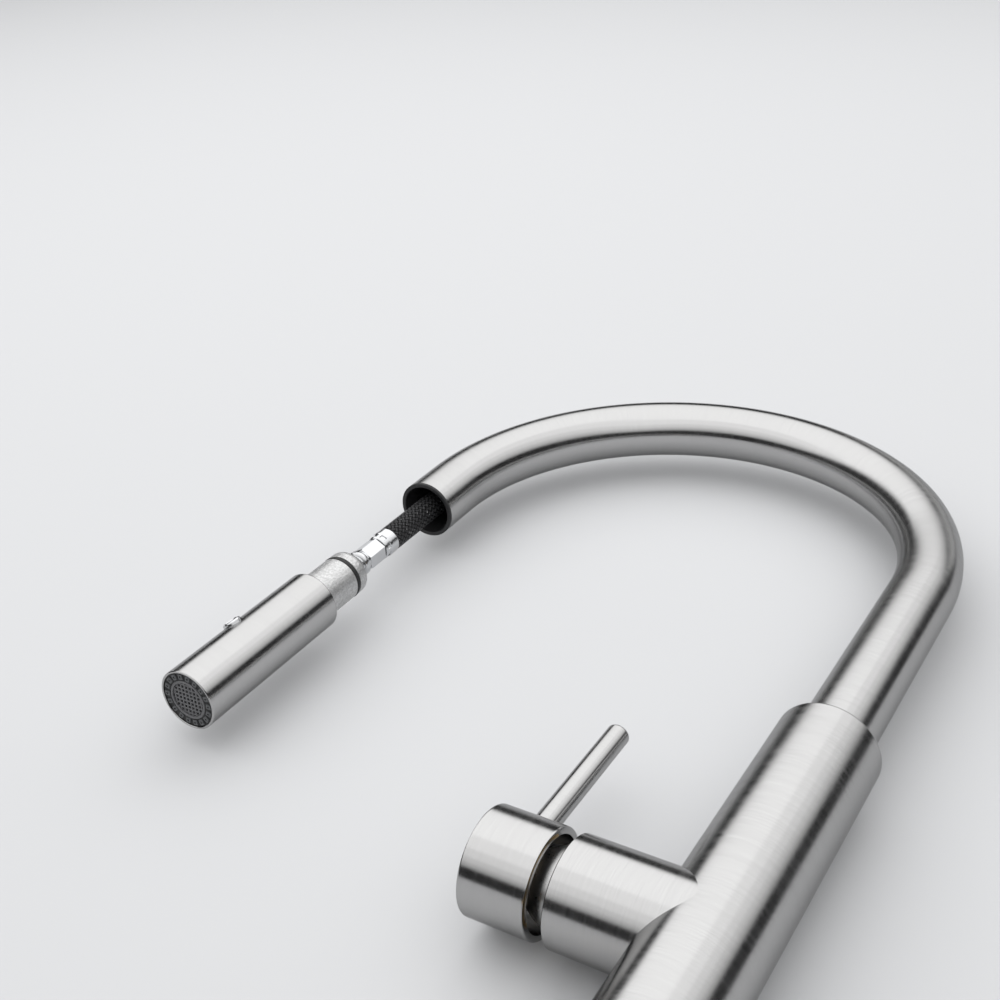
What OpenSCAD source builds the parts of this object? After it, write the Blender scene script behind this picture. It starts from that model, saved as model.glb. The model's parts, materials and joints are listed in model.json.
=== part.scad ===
// Pull-down kitchen faucet: a slim body with a side valve and a pin lever, a swivelling gooseneck
// spout, and a spray head on a braided hose that a counterweight below the deck draws back.
// Millimetres, +Z up. The origin is the centre of the face that seats on the deck.
// The spout and the valve hub both point to -X.

/* [Body] */
// Diameter of the body
body_d = 40; // [38:0.5:50]
// Height of the body's top above the deck
body_h = 164; // [150:1:220]
// Wall of the body and of the valve hub
body_wall = 2; // [1.5:0.1:2.5]
// Diameter of the base ring
base_d = 47; // [44:0.5:60]
// Height of the base ring with its seal
base_h = 5; // [4:0.5:8]

/* [Spout] */
// Diameter of the spout tube
spout_d = 28; // [26:0.5:31]
// Wall of the spout tube
spout_wall = 1.2; // [1:0.1:1.5]
// Radius of the gooseneck's bend, at the middle of the tube
bend_r = 116.5; // [90:0.5:145]
// Straight tube between the body's top and the bend
spout_rise = 112; // [60:1:150]
// Straight tube between the bend and the outlet
spout_drop = 25; // [25:1:60]
// Length of the spout's tail inside the body
tail_len = 48; // [44:1:56]

/* [Valve hub] */
// Height of the hub's axis above the deck
hub_z = 57; // [48:1:68]
// Diameter of the hub and the handle cap
hub_d = 39; // [38:0.5:39.5]
// Distance from the body's axis to the end of the handle cap
hub_reach = 80.5; // [78:0.5:98]
// Length of the handle cap
cap_len = 25; // [23:0.5:30]
// Groove between the hub and the handle cap
cap_groove = 6.5; // [5.5:0.5:9]

/* [Lever] */
// Diameter of the pin lever
lever_d = 9; // [7:0.5:11]
// Distance from the hub's axis to the lever's tip
lever_reach = 80.5; // [60:0.5:110]
// Distance from the cap's end face to the lever's axis
lever_inset = 9; // [7:0.5:10]

/* [Spray head] */
// Diameter of the spray head
head_d = 27; // [26:0.5:31]
// Length of the spray head
head_len = 81.5; // [70:0.5:100]
// Gap between the outlet and the head as stored
pulled_out = 90.5; // [70:0.5:100]
// Diameter of the adapter that docks in the outlet
adapter_d = 20.6; // [19:0.1:20.6]
// Length of the adapter outside the head
adapter_len = 28.5; // [24:0.5:30]
// Diameter of the mode button
button_d = 8.4; // [6:0.2:10]
// Direction of the mode button, from -X towards -Y, in degrees
button_turn = 54; // [0:1:90]
// Number of spray nozzles
nozzle_count = 18; // [12:1:24]

/* [Hose] */
// Diameter of the braided hose
hose_d = 12; // [9:0.5:12]

/* [Deck fixing] */
// Outer diameter of the threaded shank
shank_d = 33; // [32:0.5:33]
// Length of the shank below the deck seat
shank_len = 75; // [60:1:90]
// Thickness of the deck that the nut is set for
deck_t = 22; // [5:1:35]
// Across the flats of the shank nut
nut_af = 41; // [38:0.5:41]

/* [Hidden] */
$fn = 64;

// Clearances
fixed_gap = 0.05;
run_gap = 0.06;
loose_gap = 0.25;

// Body
body_r = body_d / 2;
bore_r = body_r - body_wall;
lip_h = 3;
edge = 0.5;
hub_r = hub_d / 2;
hub_bore_r = hub_r - body_wall;
spout_r = spout_d / 2;
spout_bore_r = spout_r - spout_wall;
shank_r = shank_d / 2;
shank_bore_r = shank_r - 2;
seal_t = 1;
spigot_h = 11;

// Swivel, from the top of the body down
upper_bush_h = 12;
upper_bush_z = body_h - lip_h - upper_bush_h;
clip_h = 1.8;
clip_depth = 0.7;
clip_z = upper_bush_z - clip_h - 1;
tail_z = body_h - tail_len;
lower_bush_h = 12;
ledge_t = 4;
bush_foot_t = 4;
hose_split_z = body_h - 14;

// Valve, as distances from the body's axis along the hub
hub_end = hub_reach - cap_len - cap_groove;
pivot_t = hub_end + 1;
nut_t = 2.9;
neck_end = hub_end - 3;
nose_start = neck_end;
seat_t = neck_end - 16.2;
cart_r = 12.3;
cart_gap = 0.2;
base_disc_t = 3;
disc_t = 3.5;
fixed_disc_start = seat_t + 0.2 + base_disc_t;
moving_disc_start = fixed_disc_start + disc_t + 0.1;
carrier_start = moving_disc_start + disc_t + 0.7;
nose_r = 9.6;
nose_bore_r = 7.7;
stem_r = 2.8;
stem_tip_r = 2;
pin_r = 1;
stem_end = hub_reach - 4;
cap_start = hub_end + cap_groove;
cap_cavity = 11;
cap_wall = 2.5;
bonnet_r = 14.3;
bonnet_wall = 1.5;
bonnet_hole_r = 7.9;
lever_t = hub_reach - lever_inset;
lever_r = lever_d / 2;
lever_seat = hub_r - 2.5;
stub_r = 2.4;
stub_in = 8;
screw_t = lever_t;
screw_r = 2;
port_r = 2.2;
port_y = 6.2;
port_drop = 3;
outlet_port_rise = 6;
ports = [[-port_drop, port_y], [-port_drop, -port_y], [outlet_port_rise, 0]];

// Water ways
hose_r = hose_d / 2;
hose_x = 8.3;
block_flat = 1.6;
block_top = hub_z + 25;
block_bottom = base_h + spigot_h + 3;
inlet_x = -4.2;
inlet_y = 8.6;
inlet_r = 4.6;
inlet_depth = 12;
way_r = 2.6;
tube_r = 3.5;
tube_x = -10;
tube_bend_r = 14;
tube_run = 4;
tube_socket = 12;

// Head, from its front face up
outlet_x = -2 * bend_r;
bend_z = body_h + spout_rise;
outlet_z = bend_z - spout_drop;
head_r = head_d / 2;
head_rear_z = outlet_z - pulled_out;
head_z = head_rear_z - head_len;
head_wall = 1;
head_bore_r = head_r - head_wall;
rear_wall = 1.6;
adapter_r = adapter_d / 2;
adapter_in = 14;
adapter_bore_r = 4.06;
ring_r = 1;
ring_offset = adapter_len - 7.5;
guide_flange = 1.2;
guide_bore_r = adapter_r + 0.4;
guide_mouth_r = spout_r - 1.9;
guide_taper = 7;
guide_len = spout_drop - guide_flange - 1;
button_r = button_d / 2;
button_z = head_len / 2 - 1.5;
button_out = 1.3;
button_in = 7;
plunger_r = 3.2;
plunger_len = 12;
plunger_z = button_z - 6.5;
face_in = 0.5;
face_t = 6;
aerator_r = 7.7;
ring_w = 1.1;
nozzle_w = 2.1;
nozzle_ring_r = (aerator_r + ring_w + head_bore_r) / 2;
core_port_r = aerator_r + ring_w + 1.2;
core_front = face_in + face_t + 0.1;
core_rear = head_len - rear_wall - adapter_in + 1;

// Hose end fitting, from the adapter's end up
neck_r = 6.1;
neck_len = 8.5;
nipple_in = 12;
nipple_r = 4;
hex_r = 5.9;
hex_len = 12;
collar_r = hose_r + 0.15;
collar_len = 9;
fitting_z = head_rear_z + adapter_len + 0.5;
collar_z = fitting_z + neck_len + hex_len;
lead_z = collar_z + collar_len;

// Deck fixing, from the deck seat down
gasket_t = 3;
washer_t = 2.5;
nut_h = 11;
plate_r = base_d / 2 - 0.5;
gasket_top = -deck_t;

// Hose loop below the deck
leg_top = 30;
tube_low = -shank_len - 5;
tube_out = 2 * tube_bend_r + tube_run;
tube_drop = 2 * tube_bend_r;
connector_r = 8.5;
connector_len = 42;
connector_over = 14;
connector_x = tube_x - tube_out;
tube_end = tube_low - tube_drop - connector_over;
connector_top = tube_low - tube_drop - 1;
connector_low = connector_top - connector_len;
return_collar_len = 14;
weight_r = 14;
weight_len = 46;
weight_z = -344;
weight_screw_r = 2;
loop_z = -394;
loop_r = 50;

// Middle of the hose inside the body, from the swivel down: x and z
body_route = [
  [0, hose_split_z], [0, 142], [1, 130], [2.8, 120], [5.2, 108], [7.2, 97], [8.2, 86], [hose_x, 74],
  [hose_x, 52], [hose_x, leg_top]
];
// Middle of the hose below the deck, from the shank down through the loop and back to the outlet
leg_route = [
  [hose_x, leg_top], [hose_x, 0], [hose_x, -34], [hose_x, -68], [hose_x, -102], [hose_x, -136],
  [hose_x, -170], [hose_x, -204], [hose_x, -238], [hose_x, -272], [hose_x, -306], [hose_x, -340],
  [hose_x, -366], [hose_x, loop_z]
];
return_route = [
  [hose_x - 2 * loop_r, loop_z], [hose_x - 2 * loop_r, loop_z + 1], [-91.5, -376], [-89, -350],
  [-83, -320], [-74, -292], [-64, -264],
  [-54, -236], [-46, -210], [-42.5, -188], [connector_x, connector_low - return_collar_len]
];
// Middle of the hose in the spout, from the start of the bend over to the swivel
hose_rings = 12;
lead_turn = 160;
lead_end = bend_point(lead_turn);
lead_heading = [sin(lead_turn), -cos(lead_turn)];
spout_route = concat(
  [lead_end, lead_end + lead_heading],
  [for (i = [1:hose_rings]) bend_point(lead_turn - i * lead_turn / hose_rings)],
  [for (i = [1:4]) [0, bend_z - i * (bend_z - hose_split_z) / 4]]
);
// Middle of the length of hose that the head draws out
lead_route = concat(
  [for (i = [0:3]) [outlet_x, lead_z + i * (bend_z - lead_z) / 4]],
  [for (i = [0:2]) bend_point(180 - i * (180 - lead_turn) / 3)],
  [lead_end - lead_heading, lead_end]
);
// Middle of the bend at the bottom of the loop
bend_route = concat(
  [[hose_x, loop_z], [hose_x, loop_z - 1]],
  [for (a = [-22.5:-22.5:-157.5]) [hose_x - loop_r + loop_r * cos(a), loop_z + loop_r * sin(a)]],
  [[hose_x - 2 * loop_r, loop_z - 1], [hose_x - 2 * loop_r, loop_z]]
);

function bend_point(a) = [-bend_r + bend_r * cos(a), bend_z + bend_r * sin(a)];

// A round tube swept along points that lie in the plane of the arch
sides = 10;
function heading(p, i) =
  let (a = p[max(i - 1, 0)], b = p[min(i + 1, len(p) - 1)], d = b - a) d / norm(d);
function sweep_ring(p, i, r) =
  let (t = heading(p, i), n = [-t[1], t[0]])
  [for (k = [0:sides - 1]) let (a = 360 * k / sides)
    [p[i][0] + r * cos(a) * n[0], r * sin(a), p[i][1] + r * cos(a) * n[1]]];

module sweep(p, r) {
  n = len(p);
  points = [for (i = [0:n - 1]) each sweep_ring(p, i, r)];
  walls = [for (i = [0:n - 2], k = [0:sides - 1])
    let (a = i * sides + k, b = i * sides + (k + 1) % sides) [a, b, b + sides, a + sides]];
  first = [for (k = [sides - 1:-1:0]) k];
  last = [for (k = [0:sides - 1]) (n - 1) * sides + k];
  polyhedron(points, concat([first], walls, [last]));
}

module tube(r_out, r_in, h) {
  difference() {
    cylinder(r = r_out, h = h);
    translate([0, 0, -1]) cylinder(r = r_in, h = h + 2);
  }
}

// A round bar with its far edge chamfered
module bar(r, h, c) {
  rotate_extrude() polygon([[0, 0], [r, 0], [r, h - c], [r - c, h], [0, h]]);
}

// Places a piece on the hub's axis, its +Z pointing out along the hub, its +X up
module on_hub(t) {
  translate([-t, 0, hub_z]) rotate([0, -90, 0]) children();
}

// Places a piece on the head's axis at a height above the head's front face
module on_head(z) {
  translate([outlet_x, 0, head_z + z]) children();
}

// Places a piece on the button's axis, its +Z pointing out of the head
module on_button(r) {
  on_head(button_z) rotate([0, 0, 180 + button_turn]) translate([r, 0, 0]) rotate([0, 90, 0]) children();
}

module coil(r, wire, pitch, turns) {
  steps = 12;
  n = turns * steps;
  rim = 6;
  function coil_point(i, k) =
    let (a = 360 * i / steps, b = 360 * k / rim, q = r + wire * cos(b))
    [q * cos(a), q * sin(a), pitch * i / steps + wire * sin(b)];
  points = [for (i = [0:n], k = [0:rim - 1]) coil_point(i, k)];
  walls = [for (i = [0:n - 1], k = [0:rim - 1])
    let (a = i * rim + k, b = i * rim + (k + 1) % rim) [a, a + rim, b + rim, b]];
  first = [for (k = [0:rim - 1]) k];
  last = [for (k = [rim - 1:-1:0]) n * rim + k];
  polyhedron(points, concat([first], walls, [last]));
}

// ---- Body and deck fixing ----

module body_shell() {
  color("silver")
  difference() {
    union() {
      translate([0, 0, base_h]) bar(body_r, body_h - base_h, edge);
      on_hub(0) cylinder(r = hub_r, h = hub_end);
    }
    translate([0, 0, base_h - 1]) cylinder(r = bore_r, h = tail_z - bush_foot_t - ledge_t - base_h + 1);
    translate([0, 0, base_h]) cylinder(r = spout_r + 2, h = body_h);
    translate([0, 0, tail_z - bush_foot_t]) cylinder(r = bore_r, h = body_h - lip_h - tail_z + bush_foot_t);
    on_hub(1) cylinder(r = hub_bore_r, h = hub_end);
  }
  // The lip that closes the top around the spout
  color("silver")
  translate([0, 0, body_h - lip_h]) tube(spout_r + 2, spout_r + loose_gap, lip_h);
}

module base_ring() {
  color("silver")
  difference() {
    union() {
      translate([0, 0, seal_t]) bar(base_d / 2, base_h - seal_t, 1);
      translate([0, 0, base_h - 1]) cylinder(r = bore_r - fixed_gap, h = spigot_h + 1);
    }
    cylinder(r = shank_r + fixed_gap, h = base_h + spigot_h + 1);
  }
}

module base_seal() {
  color("dimgray") tube(base_d / 2 - 0.6, shank_r + 1, seal_t);
}

module shank() {
  color("goldenrod")
  difference() {
    translate([0, 0, -shank_len]) cylinder(r = shank_r, h = shank_len + base_h + spigot_h - 1);
    translate([0, 0, -shank_len - 1]) cylinder(r = shank_bore_r, h = shank_len + base_h + spigot_h + 2);
  }
}

module deck_gasket() {
  color("dimgray") translate([0, 0, gasket_top - gasket_t]) tube(plate_r, shank_r + loose_gap, gasket_t);
}

module deck_washer() {
  color("lightgray")
  translate([0, 0, gasket_top - gasket_t - washer_t]) tube(plate_r, shank_r + loose_gap, washer_t);
}

module shank_nut() {
  color("goldenrod")
  translate([0, 0, gasket_top - gasket_t - washer_t - nut_h])
  difference() {
    cylinder(d = nut_af / cos(30), h = nut_h, $fn = 6);
    translate([0, 0, -1]) cylinder(r = shank_r + fixed_gap, h = nut_h + 2);
    for (a = [0, 180]) rotate([0, 0, a]) translate([shank_r + 3.6, 0, -1]) cylinder(r = 1.6, h = nut_h + 2);
  }
}

module nut_screws() {
  color("silver")
  for (a = [0, 180])
    rotate([0, 0, a]) translate([shank_r + 3.6, 0, gasket_top - gasket_t - washer_t - nut_h - 6]) {
      cylinder(r = 1.55, h = nut_h + 6);
      translate([0, 0, -2]) cylinder(r = 2.6, h = 2, $fn = 6);
    }
}

// ---- Valve ----

module port_holes(r, h) {
  for (p = ports) translate([p[0], p[1], 0]) cylinder(r = r, h = h);
}

module valve_block() {
  color("goldenrod")
  difference() {
    union() {
      translate([0, 0, block_bottom]) cylinder(r = bore_r - 0.4, h = block_top - block_bottom);
      on_hub(0) cylinder(r = hub_bore_r - 0.3, h = neck_end);
    }
    translate([block_flat, -body_r, block_bottom - 1]) cube([body_r, body_d, block_top]);
    on_hub(seat_t) cylinder(r = cart_r + cart_gap, h = neck_end);
    on_hub(-inlet_x) port_holes(port_r, seat_t);
    for (s = [-1, 1]) translate([inlet_x, s * inlet_y, block_bottom - 1]) {
      cylinder(r = inlet_r, h = inlet_depth + 1);
      cylinder(r = way_r, h = hub_z - block_bottom);
    }
    translate([tube_x, 0, block_bottom - 1]) {
      cylinder(r = tube_r + fixed_gap, h = tube_socket + 1);
      cylinder(r = way_r, h = hub_z + outlet_port_rise - block_bottom);
    }
  }
}

module port_seals() {
  color("dimgray")
  on_hub(seat_t)
  for (p = ports) translate([p[0], p[1], 0]) tube(port_r + 0.9, port_r, 1.2);
}

module cartridge_base() {
  color("white")
  difference() {
    on_hub(seat_t + 0.2) cylinder(r = cart_r, h = base_disc_t);
    on_hub(seat_t) port_holes(port_r, base_disc_t + 1);
    on_hub(seat_t) port_holes(port_r + 0.95, 1.25);
  }
}

module fixed_disc() {
  color("whitesmoke")
  difference() {
    on_hub(fixed_disc_start) cylinder(r = cart_r - 1.1, h = disc_t);
    on_hub(fixed_disc_start - 1) port_holes(port_r, disc_t + 2);
  }
}

module cartridge_body() {
  color("white")
  on_hub(0)
  difference() {
    union() {
      translate([0, 0, fixed_disc_start]) cylinder(r = cart_r, h = nose_start - fixed_disc_start);
      translate([0, 0, nose_start - 1]) cylinder(r = nose_r, h = 4.5);
    }
    translate([0, 0, fixed_disc_start - 1])
      cylinder(r = cart_r - 0.9, h = nose_start - 0.5 - fixed_disc_start);
    translate([0, 0, fixed_disc_start]) cylinder(r = nose_bore_r, h = hub_end);
  }
}

module cartridge_nut() {
  color("goldenrod")
  on_hub(neck_end + 0.1)
  difference() {
    tube(hub_bore_r - 0.1, nose_r + 0.2, nut_t);
    for (a = [45:90:315]) rotate([0, 0, a]) translate([hub_bore_r - 2, -1, nut_t - 1.5]) cube([3, 2, 2]);
  }
}

module bonnet() {
  color("silver")
  on_hub(pivot_t)
  difference() {
    sphere(r = bonnet_r);
    sphere(r = bonnet_r - bonnet_wall);
    translate([-bonnet_r - 1, -bonnet_r - 1, -2 * bonnet_r - 2.9]) cube(2 * bonnet_r + 2);
    cylinder(r = bonnet_hole_r, h = bonnet_r + 1);
  }
}

module stem_carrier() {
  color("lightgray")
  on_hub(0)
  difference() {
    union() {
      translate([0, 0, carrier_start]) cylinder(r = cart_r - 1.2, h = nose_start - 1.7 - carrier_start);
      translate([0, 0, carrier_start]) cylinder(r = nose_bore_r - run_gap, h = pivot_t + 2 - carrier_start);
    }
    translate([-6, -stem_r - 0.1, carrier_start - 1]) cube([12, 2 * stem_r + 0.2, pivot_t]);
    translate([0, 0, pivot_t]) rotate([90, 0, 0]) cylinder(r = pin_r, h = 2 * nose_bore_r, center = true);
  }
}

module stem_pin() {
  color("silver")
  on_hub(pivot_t) rotate([90, 0, 0]) cylinder(r = pin_r, h = 2 * nose_bore_r - 0.6, center = true);
}

module moving_disc() {
  color("whitesmoke")
  on_hub(moving_disc_start)
  difference() {
    cylinder(r = 7.8, h = disc_t);
    translate([0, 0, 1.4]) cylinder(r = stem_tip_r + 0.5, h = disc_t);
  }
}

module cartridge_stem() {
  color("silver")
  on_hub(0)
  difference() {
    union() {
      translate([0, 0, moving_disc_start + 2]) cylinder(r = stem_tip_r, h = 3);
      translate([0, 0, moving_disc_start + 4.5]) cylinder(r = stem_r, h = stem_end - moving_disc_start - 4.5);
    }
    translate([0, 0, pivot_t]) rotate([90, 0, 0])
      cylinder(r = pin_r + run_gap, h = 3 * stem_r, center = true);
  }
}

module handle_cap() {
  color("silver")
  on_hub(cap_start)
  difference() {
    rotate_extrude() polygon([
      [0, 0], [hub_r - edge, 0], [hub_r, edge], [hub_r, cap_len - edge], [hub_r - edge, cap_len], [0, cap_len]
    ]);
    translate([0, 0, -1]) cylinder(r = hub_r - cap_wall, h = cap_cavity + 1);
    cylinder(r = stem_r + fixed_gap, h = stem_end + 0.3 - cap_start);
    translate([0, 0, lever_t - cap_start]) rotate([0, 90, 0]) {
      translate([0, 0, lever_seat]) cylinder(r = lever_r + fixed_gap, h = hub_r);
      translate([0, 0, stub_in - 0.5]) cylinder(r = stub_r + fixed_gap, h = hub_r);
    }
    translate([0, 0, screw_t - cap_start]) rotate([0, -90, 0])
      cylinder(r = screw_r + fixed_gap, h = hub_r + 1);
  }
}

module lever_pin() {
  color("silver")
  on_hub(lever_t) rotate([0, 90, 0]) {
    translate([0, 0, lever_seat]) bar(lever_r, lever_reach - lever_seat, edge);
    translate([0, 0, stub_in]) cylinder(r = stub_r, h = lever_seat - stub_in + 1);
  }
}

module set_screw() {
  color("dimgray")
  on_hub(screw_t) rotate([0, -90, 0]) translate([0, 0, stem_r])
  difference() {
    cylinder(r = screw_r, h = 10);
    translate([0, 0, 8]) cylinder(r = 1.1, h = 3, $fn = 6);
  }
}

module screw_plug() {
  color("silver")
  on_hub(screw_t) rotate([0, -90, 0]) translate([0, 0, hub_r - 2.6]) cylinder(r = screw_r, h = 2.4);
}

// ---- Swivel and spout ----

module upper_bush() {
  color("black")
  translate([0, 0, upper_bush_z]) tube(bore_r - fixed_gap, spout_r + run_gap, upper_bush_h);
}

module lower_bush() {
  color("black")
  difference() {
    translate([0, 0, tail_z - bush_foot_t]) cylinder(r = bore_r - fixed_gap, h = bush_foot_t + lower_bush_h);
    translate([0, 0, tail_z]) cylinder(r = spout_r + run_gap, h = lower_bush_h + 1);
    translate([0, 0, tail_z - bush_foot_t - 1]) cylinder(r = spout_bore_r - 0.4, h = bush_foot_t + 2);
  }
}

module spout_clip() {
  color("lightgray")
  translate([0, 0, clip_z + 0.1])
  rotate([0, 0, 20])
  rotate_extrude(angle = 320) translate([spout_r - clip_depth + 0.1, 0]) square([2.6, clip_h - 0.2]);
}

module spout_tube() {
  color("silver")
  difference() {
    spout_solid(spout_r, 0);
    spout_solid(spout_bore_r, 1);
    translate([0, 0, clip_z]) tube(spout_r + 1, spout_r - clip_depth, clip_h);
  }
}

// The spout's path as a solid bar, with its ends longer by a given amount
module spout_solid(r, extra) {
  translate([0, 0, tail_z - extra]) cylinder(r = r, h = bend_z - tail_z + extra);
  translate([-bend_r, 0, bend_z]) rotate([90, 0, 0])
    rotate_extrude(angle = 180) translate([bend_r, 0]) circle(r = r);
  translate([outlet_x, 0, outlet_z + guide_flange - extra])
    cylinder(r = r, h = spout_drop - guide_flange + extra);
}

module outlet_guide() {
  color("black")
  translate([outlet_x, 0, outlet_z])
  rotate_extrude() polygon([
    [guide_mouth_r, 0], [spout_r, 0], [spout_r, guide_flange],
    [spout_bore_r - fixed_gap, guide_flange], [spout_bore_r - fixed_gap, guide_flange + guide_len],
    [guide_bore_r, guide_flange + guide_len], [guide_bore_r, guide_taper], [guide_mouth_r, 1]
  ]);
}

// ---- Hose ----

module hose_spout() {
  color("black") sweep(spout_route, hose_r);
}

module hose_lead() {
  color("black") sweep(lead_route, hose_r);
}

module hose_body() {
  color("black") sweep(body_route, hose_r);
}

module hose_leg() {
  color("black") sweep(leg_route, hose_r);
}

module hose_bend() {
  color("black") sweep(bend_route, hose_r);
}

module hose_return() {
  color("black") sweep(return_route, hose_r);
}

module crimp_collar() {
  color("silver")
  translate([outlet_x, 0, collar_z])
  rotate_extrude() polygon([
    [0, 0], [collar_r - 0.9, 0], [collar_r - 0.3, 0.8], [collar_r - 0.3, 3.4], [collar_r, 4],
    [collar_r, collar_len], [0, collar_len]
  ]);
}

module hose_fitting() {
  color("silver")
  translate([outlet_x, 0, fitting_z])
  difference() {
    union() {
      translate([0, 0, -nipple_in]) cylinder(r = nipple_r, h = nipple_in + 1);
      rotate_extrude() polygon([
        [0, 0], [neck_r - 0.6, 0], [neck_r, 0.6], [neck_r, 2.2], [neck_r - 1, 3], [neck_r - 1, 4.2],
        [neck_r - 0.1, 4.8], [neck_r - 0.1, 6.8], [neck_r - 1.2, 7.4], [neck_r - 1.2, neck_len], [0, neck_len]
      ]);
      translate([0, 0, neck_len]) cylinder(r = hex_r, h = hex_len, $fn = 6);
    }
    translate([0, 0, -nipple_in - 1]) cylinder(r = 2.6, h = nipple_in + neck_len + hex_len - 1);
    translate([0, 0, -nipple_in + 3]) tube(nipple_r + 1, nipple_r - 0.9, 1.8);
  }
}

module fitting_ring() {
  color("dimgray")
  translate([outlet_x, 0, fitting_z - nipple_in + 3.1]) tube(nipple_r, nipple_r - 0.85, 1.6);
}

// ---- Spray head ----

module head_adapter() {
  color("lightgray")
  translate([outlet_x, 0, head_rear_z])
  difference() {
    rotate_extrude() polygon([
      [0, -rear_wall - adapter_in], [adapter_r - 1.6, -rear_wall - adapter_in], [adapter_r - 1.6, -rear_wall],
      [adapter_r, -rear_wall], [adapter_r, ring_offset - 1.2], [adapter_r - 1.6, ring_offset - 1.2],
      [adapter_r - 1.6, ring_offset + 1.2], [adapter_r, ring_offset + 1.2], [adapter_r, adapter_len - 2.4],
      [adapter_r - 0.3, adapter_len - 1.4], [adapter_r - 0.9, adapter_len - 0.5],
      [adapter_r - 1.8, adapter_len], [0, adapter_len]
    ]);
    translate([0, 0, -rear_wall - adapter_in - 1]) cylinder(r = 6.5, h = 12);
    translate([0, 0, -rear_wall - adapter_in]) cylinder(r = adapter_bore_r, h = adapter_len * 3);
  }
}

module adapter_ring() {
  color("black")
  translate([outlet_x, 0, head_rear_z + ring_offset])
    rotate_extrude() translate([adapter_r - 1.6 + ring_r, 0]) scale([0.9, 1]) circle(r = ring_r, $fn = 24);
}

module check_valve() {
  color("white")
  translate([outlet_x, 0, head_rear_z - rear_wall - adapter_in + 3])
  difference() {
    tube(6.4, 2.4, 7.5);
    translate([0, 0, 6]) tube(7, 5.4, 3);
  }
}

module strainer() {
  color("gainsboro")
  translate([outlet_x, 0, head_rear_z - rear_wall - adapter_in + 0.6]) {
    tube(6.4, 5.2, 1.8);
    for (i = [-3:3]) {
      translate([i * 1.4 - 0.2, -sqrt(30 - i * i * 1.96), 0.6]) cube([0.4, 2 * sqrt(30 - i * i * 1.96), 0.4]);
      translate([-sqrt(30 - i * i * 1.96), i * 1.4 - 0.2, 0.9]) cube([2 * sqrt(30 - i * i * 1.96), 0.4, 0.4]);
    }
  }
}

module head_shell() {
  color("silver")
  difference() {
    on_head(0) rotate_extrude() polygon([
      [0, 0], [head_r - 0.3, 0], [head_r, 0.3], [head_r, head_len - edge],
      [head_r - edge, head_len], [0, head_len]
    ]);
    on_head(-1) cylinder(r = head_bore_r, h = head_len - rear_wall + 1);
    on_head(0) cylinder(r = adapter_r + fixed_gap, h = head_len + 1);
    on_button(0) cylinder(r = button_r + loose_gap, h = head_d);
  }
}

module head_core() {
  color("dimgray")
  difference() {
    on_head(core_front) cylinder(r = head_bore_r - 0.1, h = core_rear - core_front);
    on_head(core_front - 1) cylinder(r = 4.4, h = core_rear);
    on_head(plunger_z - 7) cylinder(r = plunger_r + 2, h = plunger_len + 12);
    on_button(0) cylinder(r = button_r + 0.4, h = head_d);
    on_head(core_front - 1) tube(head_bore_r - 1.5, aerator_r + ring_w + 1, 3);
    for (a = [0:60:300])
      rotate_about_head(a) on_head(core_front - 1) translate([core_port_r, 0, 0]) cylinder(r = 1.2, h = 14);
    translate([outlet_x, 0, head_rear_z - rear_wall - adapter_in - 1]) cylinder(r = adapter_r, h = 30);
  }
}

module rotate_about_head(a) {
  translate([outlet_x, 0, 0]) rotate([0, 0, a]) translate([-outlet_x, 0, 0]) children();
}

module nozzle_plate() {
  color("black")
  difference() {
    union() {
      on_head(face_in) tube(head_bore_r - 0.05, aerator_r + ring_w + 0.05, face_t);
      for (i = [0:nozzle_count - 1])
        rotate_about_head(i * 360 / nozzle_count) on_head(face_in - 0.35) translate([nozzle_ring_r, 0, 0])
          translate([-nozzle_w / 2, -nozzle_w / 2 + 0.1, 0]) cube([nozzle_w, nozzle_w - 0.2, 0.5]);
    }
    for (i = [0:nozzle_count - 1])
      rotate_about_head(i * 360 / nozzle_count) on_head(face_in - 1) translate([nozzle_ring_r, 0, 0])
          cylinder(r = 0.45, h = face_t + 2, $fn = 16);
  }
}

module face_ring() {
  color("gray") on_head(face_in - 0.15) tube(aerator_r + ring_w, aerator_r + 0.05, 3.2);
}

module aerator_cup() {
  color("dimgray") on_head(face_in + 0.95) tube(aerator_r, aerator_r - 0.8, face_t - 0.95);
}

module aerator_screen() {
  cells = 3;
  pitch = 1.9;
  color("darkgray")
  difference() {
    on_head(face_in + 0.1) cylinder(r = aerator_r, h = 0.8);
    for (i = [-cells:cells], j = [-cells:cells])
      if (norm([i, j]) < cells + 0.5)
        on_head(face_in - 1) translate([i * pitch, j * pitch, 0]) cylinder(r = 0.57, h = 3, $fn = 16);
  }
}

module diverter_plunger() {
  color("white")
  on_head(plunger_z)
  rotate_extrude() polygon([
    [0, 0], [plunger_r - 0.8, 0], [plunger_r, 0.8], [plunger_r, 2.6], [1.4, 3.2], [1.4, plunger_len - 3],
    [plunger_r, plunger_len - 2.4], [plunger_r, plunger_len], [0, plunger_len]
  ]);
}

module diverter_spring() {
  color("lightgray") on_head(plunger_z + plunger_len + 0.6) coil(2.4, 0.35, 1.3, 3);
}

module mode_button() {
  color("silver")
  difference() {
    on_button(button_in) bar(button_r, head_r + button_out - button_in, 0.4);
    on_button(button_in - 1) cylinder(r = button_r - 1, h = 4);
  }
}

module button_spring() {
  color("lightgray") on_button(button_in - 1.5) coil(2.2, 0.3, 1, 2);
}

// ---- Outlet of the valve and the hose loop ----

module outlet_tube() {
  color("goldenrod")
  difference() {
    outlet_path(tube_r, 0);
    outlet_path(tube_r - 0.9, 1);
    translate([connector_x, 0, tube_end + 3]) {
      tube(tube_r + 1, tube_r - 0.6, 1.6);
      translate([0, 0, 3.4]) tube(tube_r + 1, tube_r - 0.6, 1.6);
    }
  }
}

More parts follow.
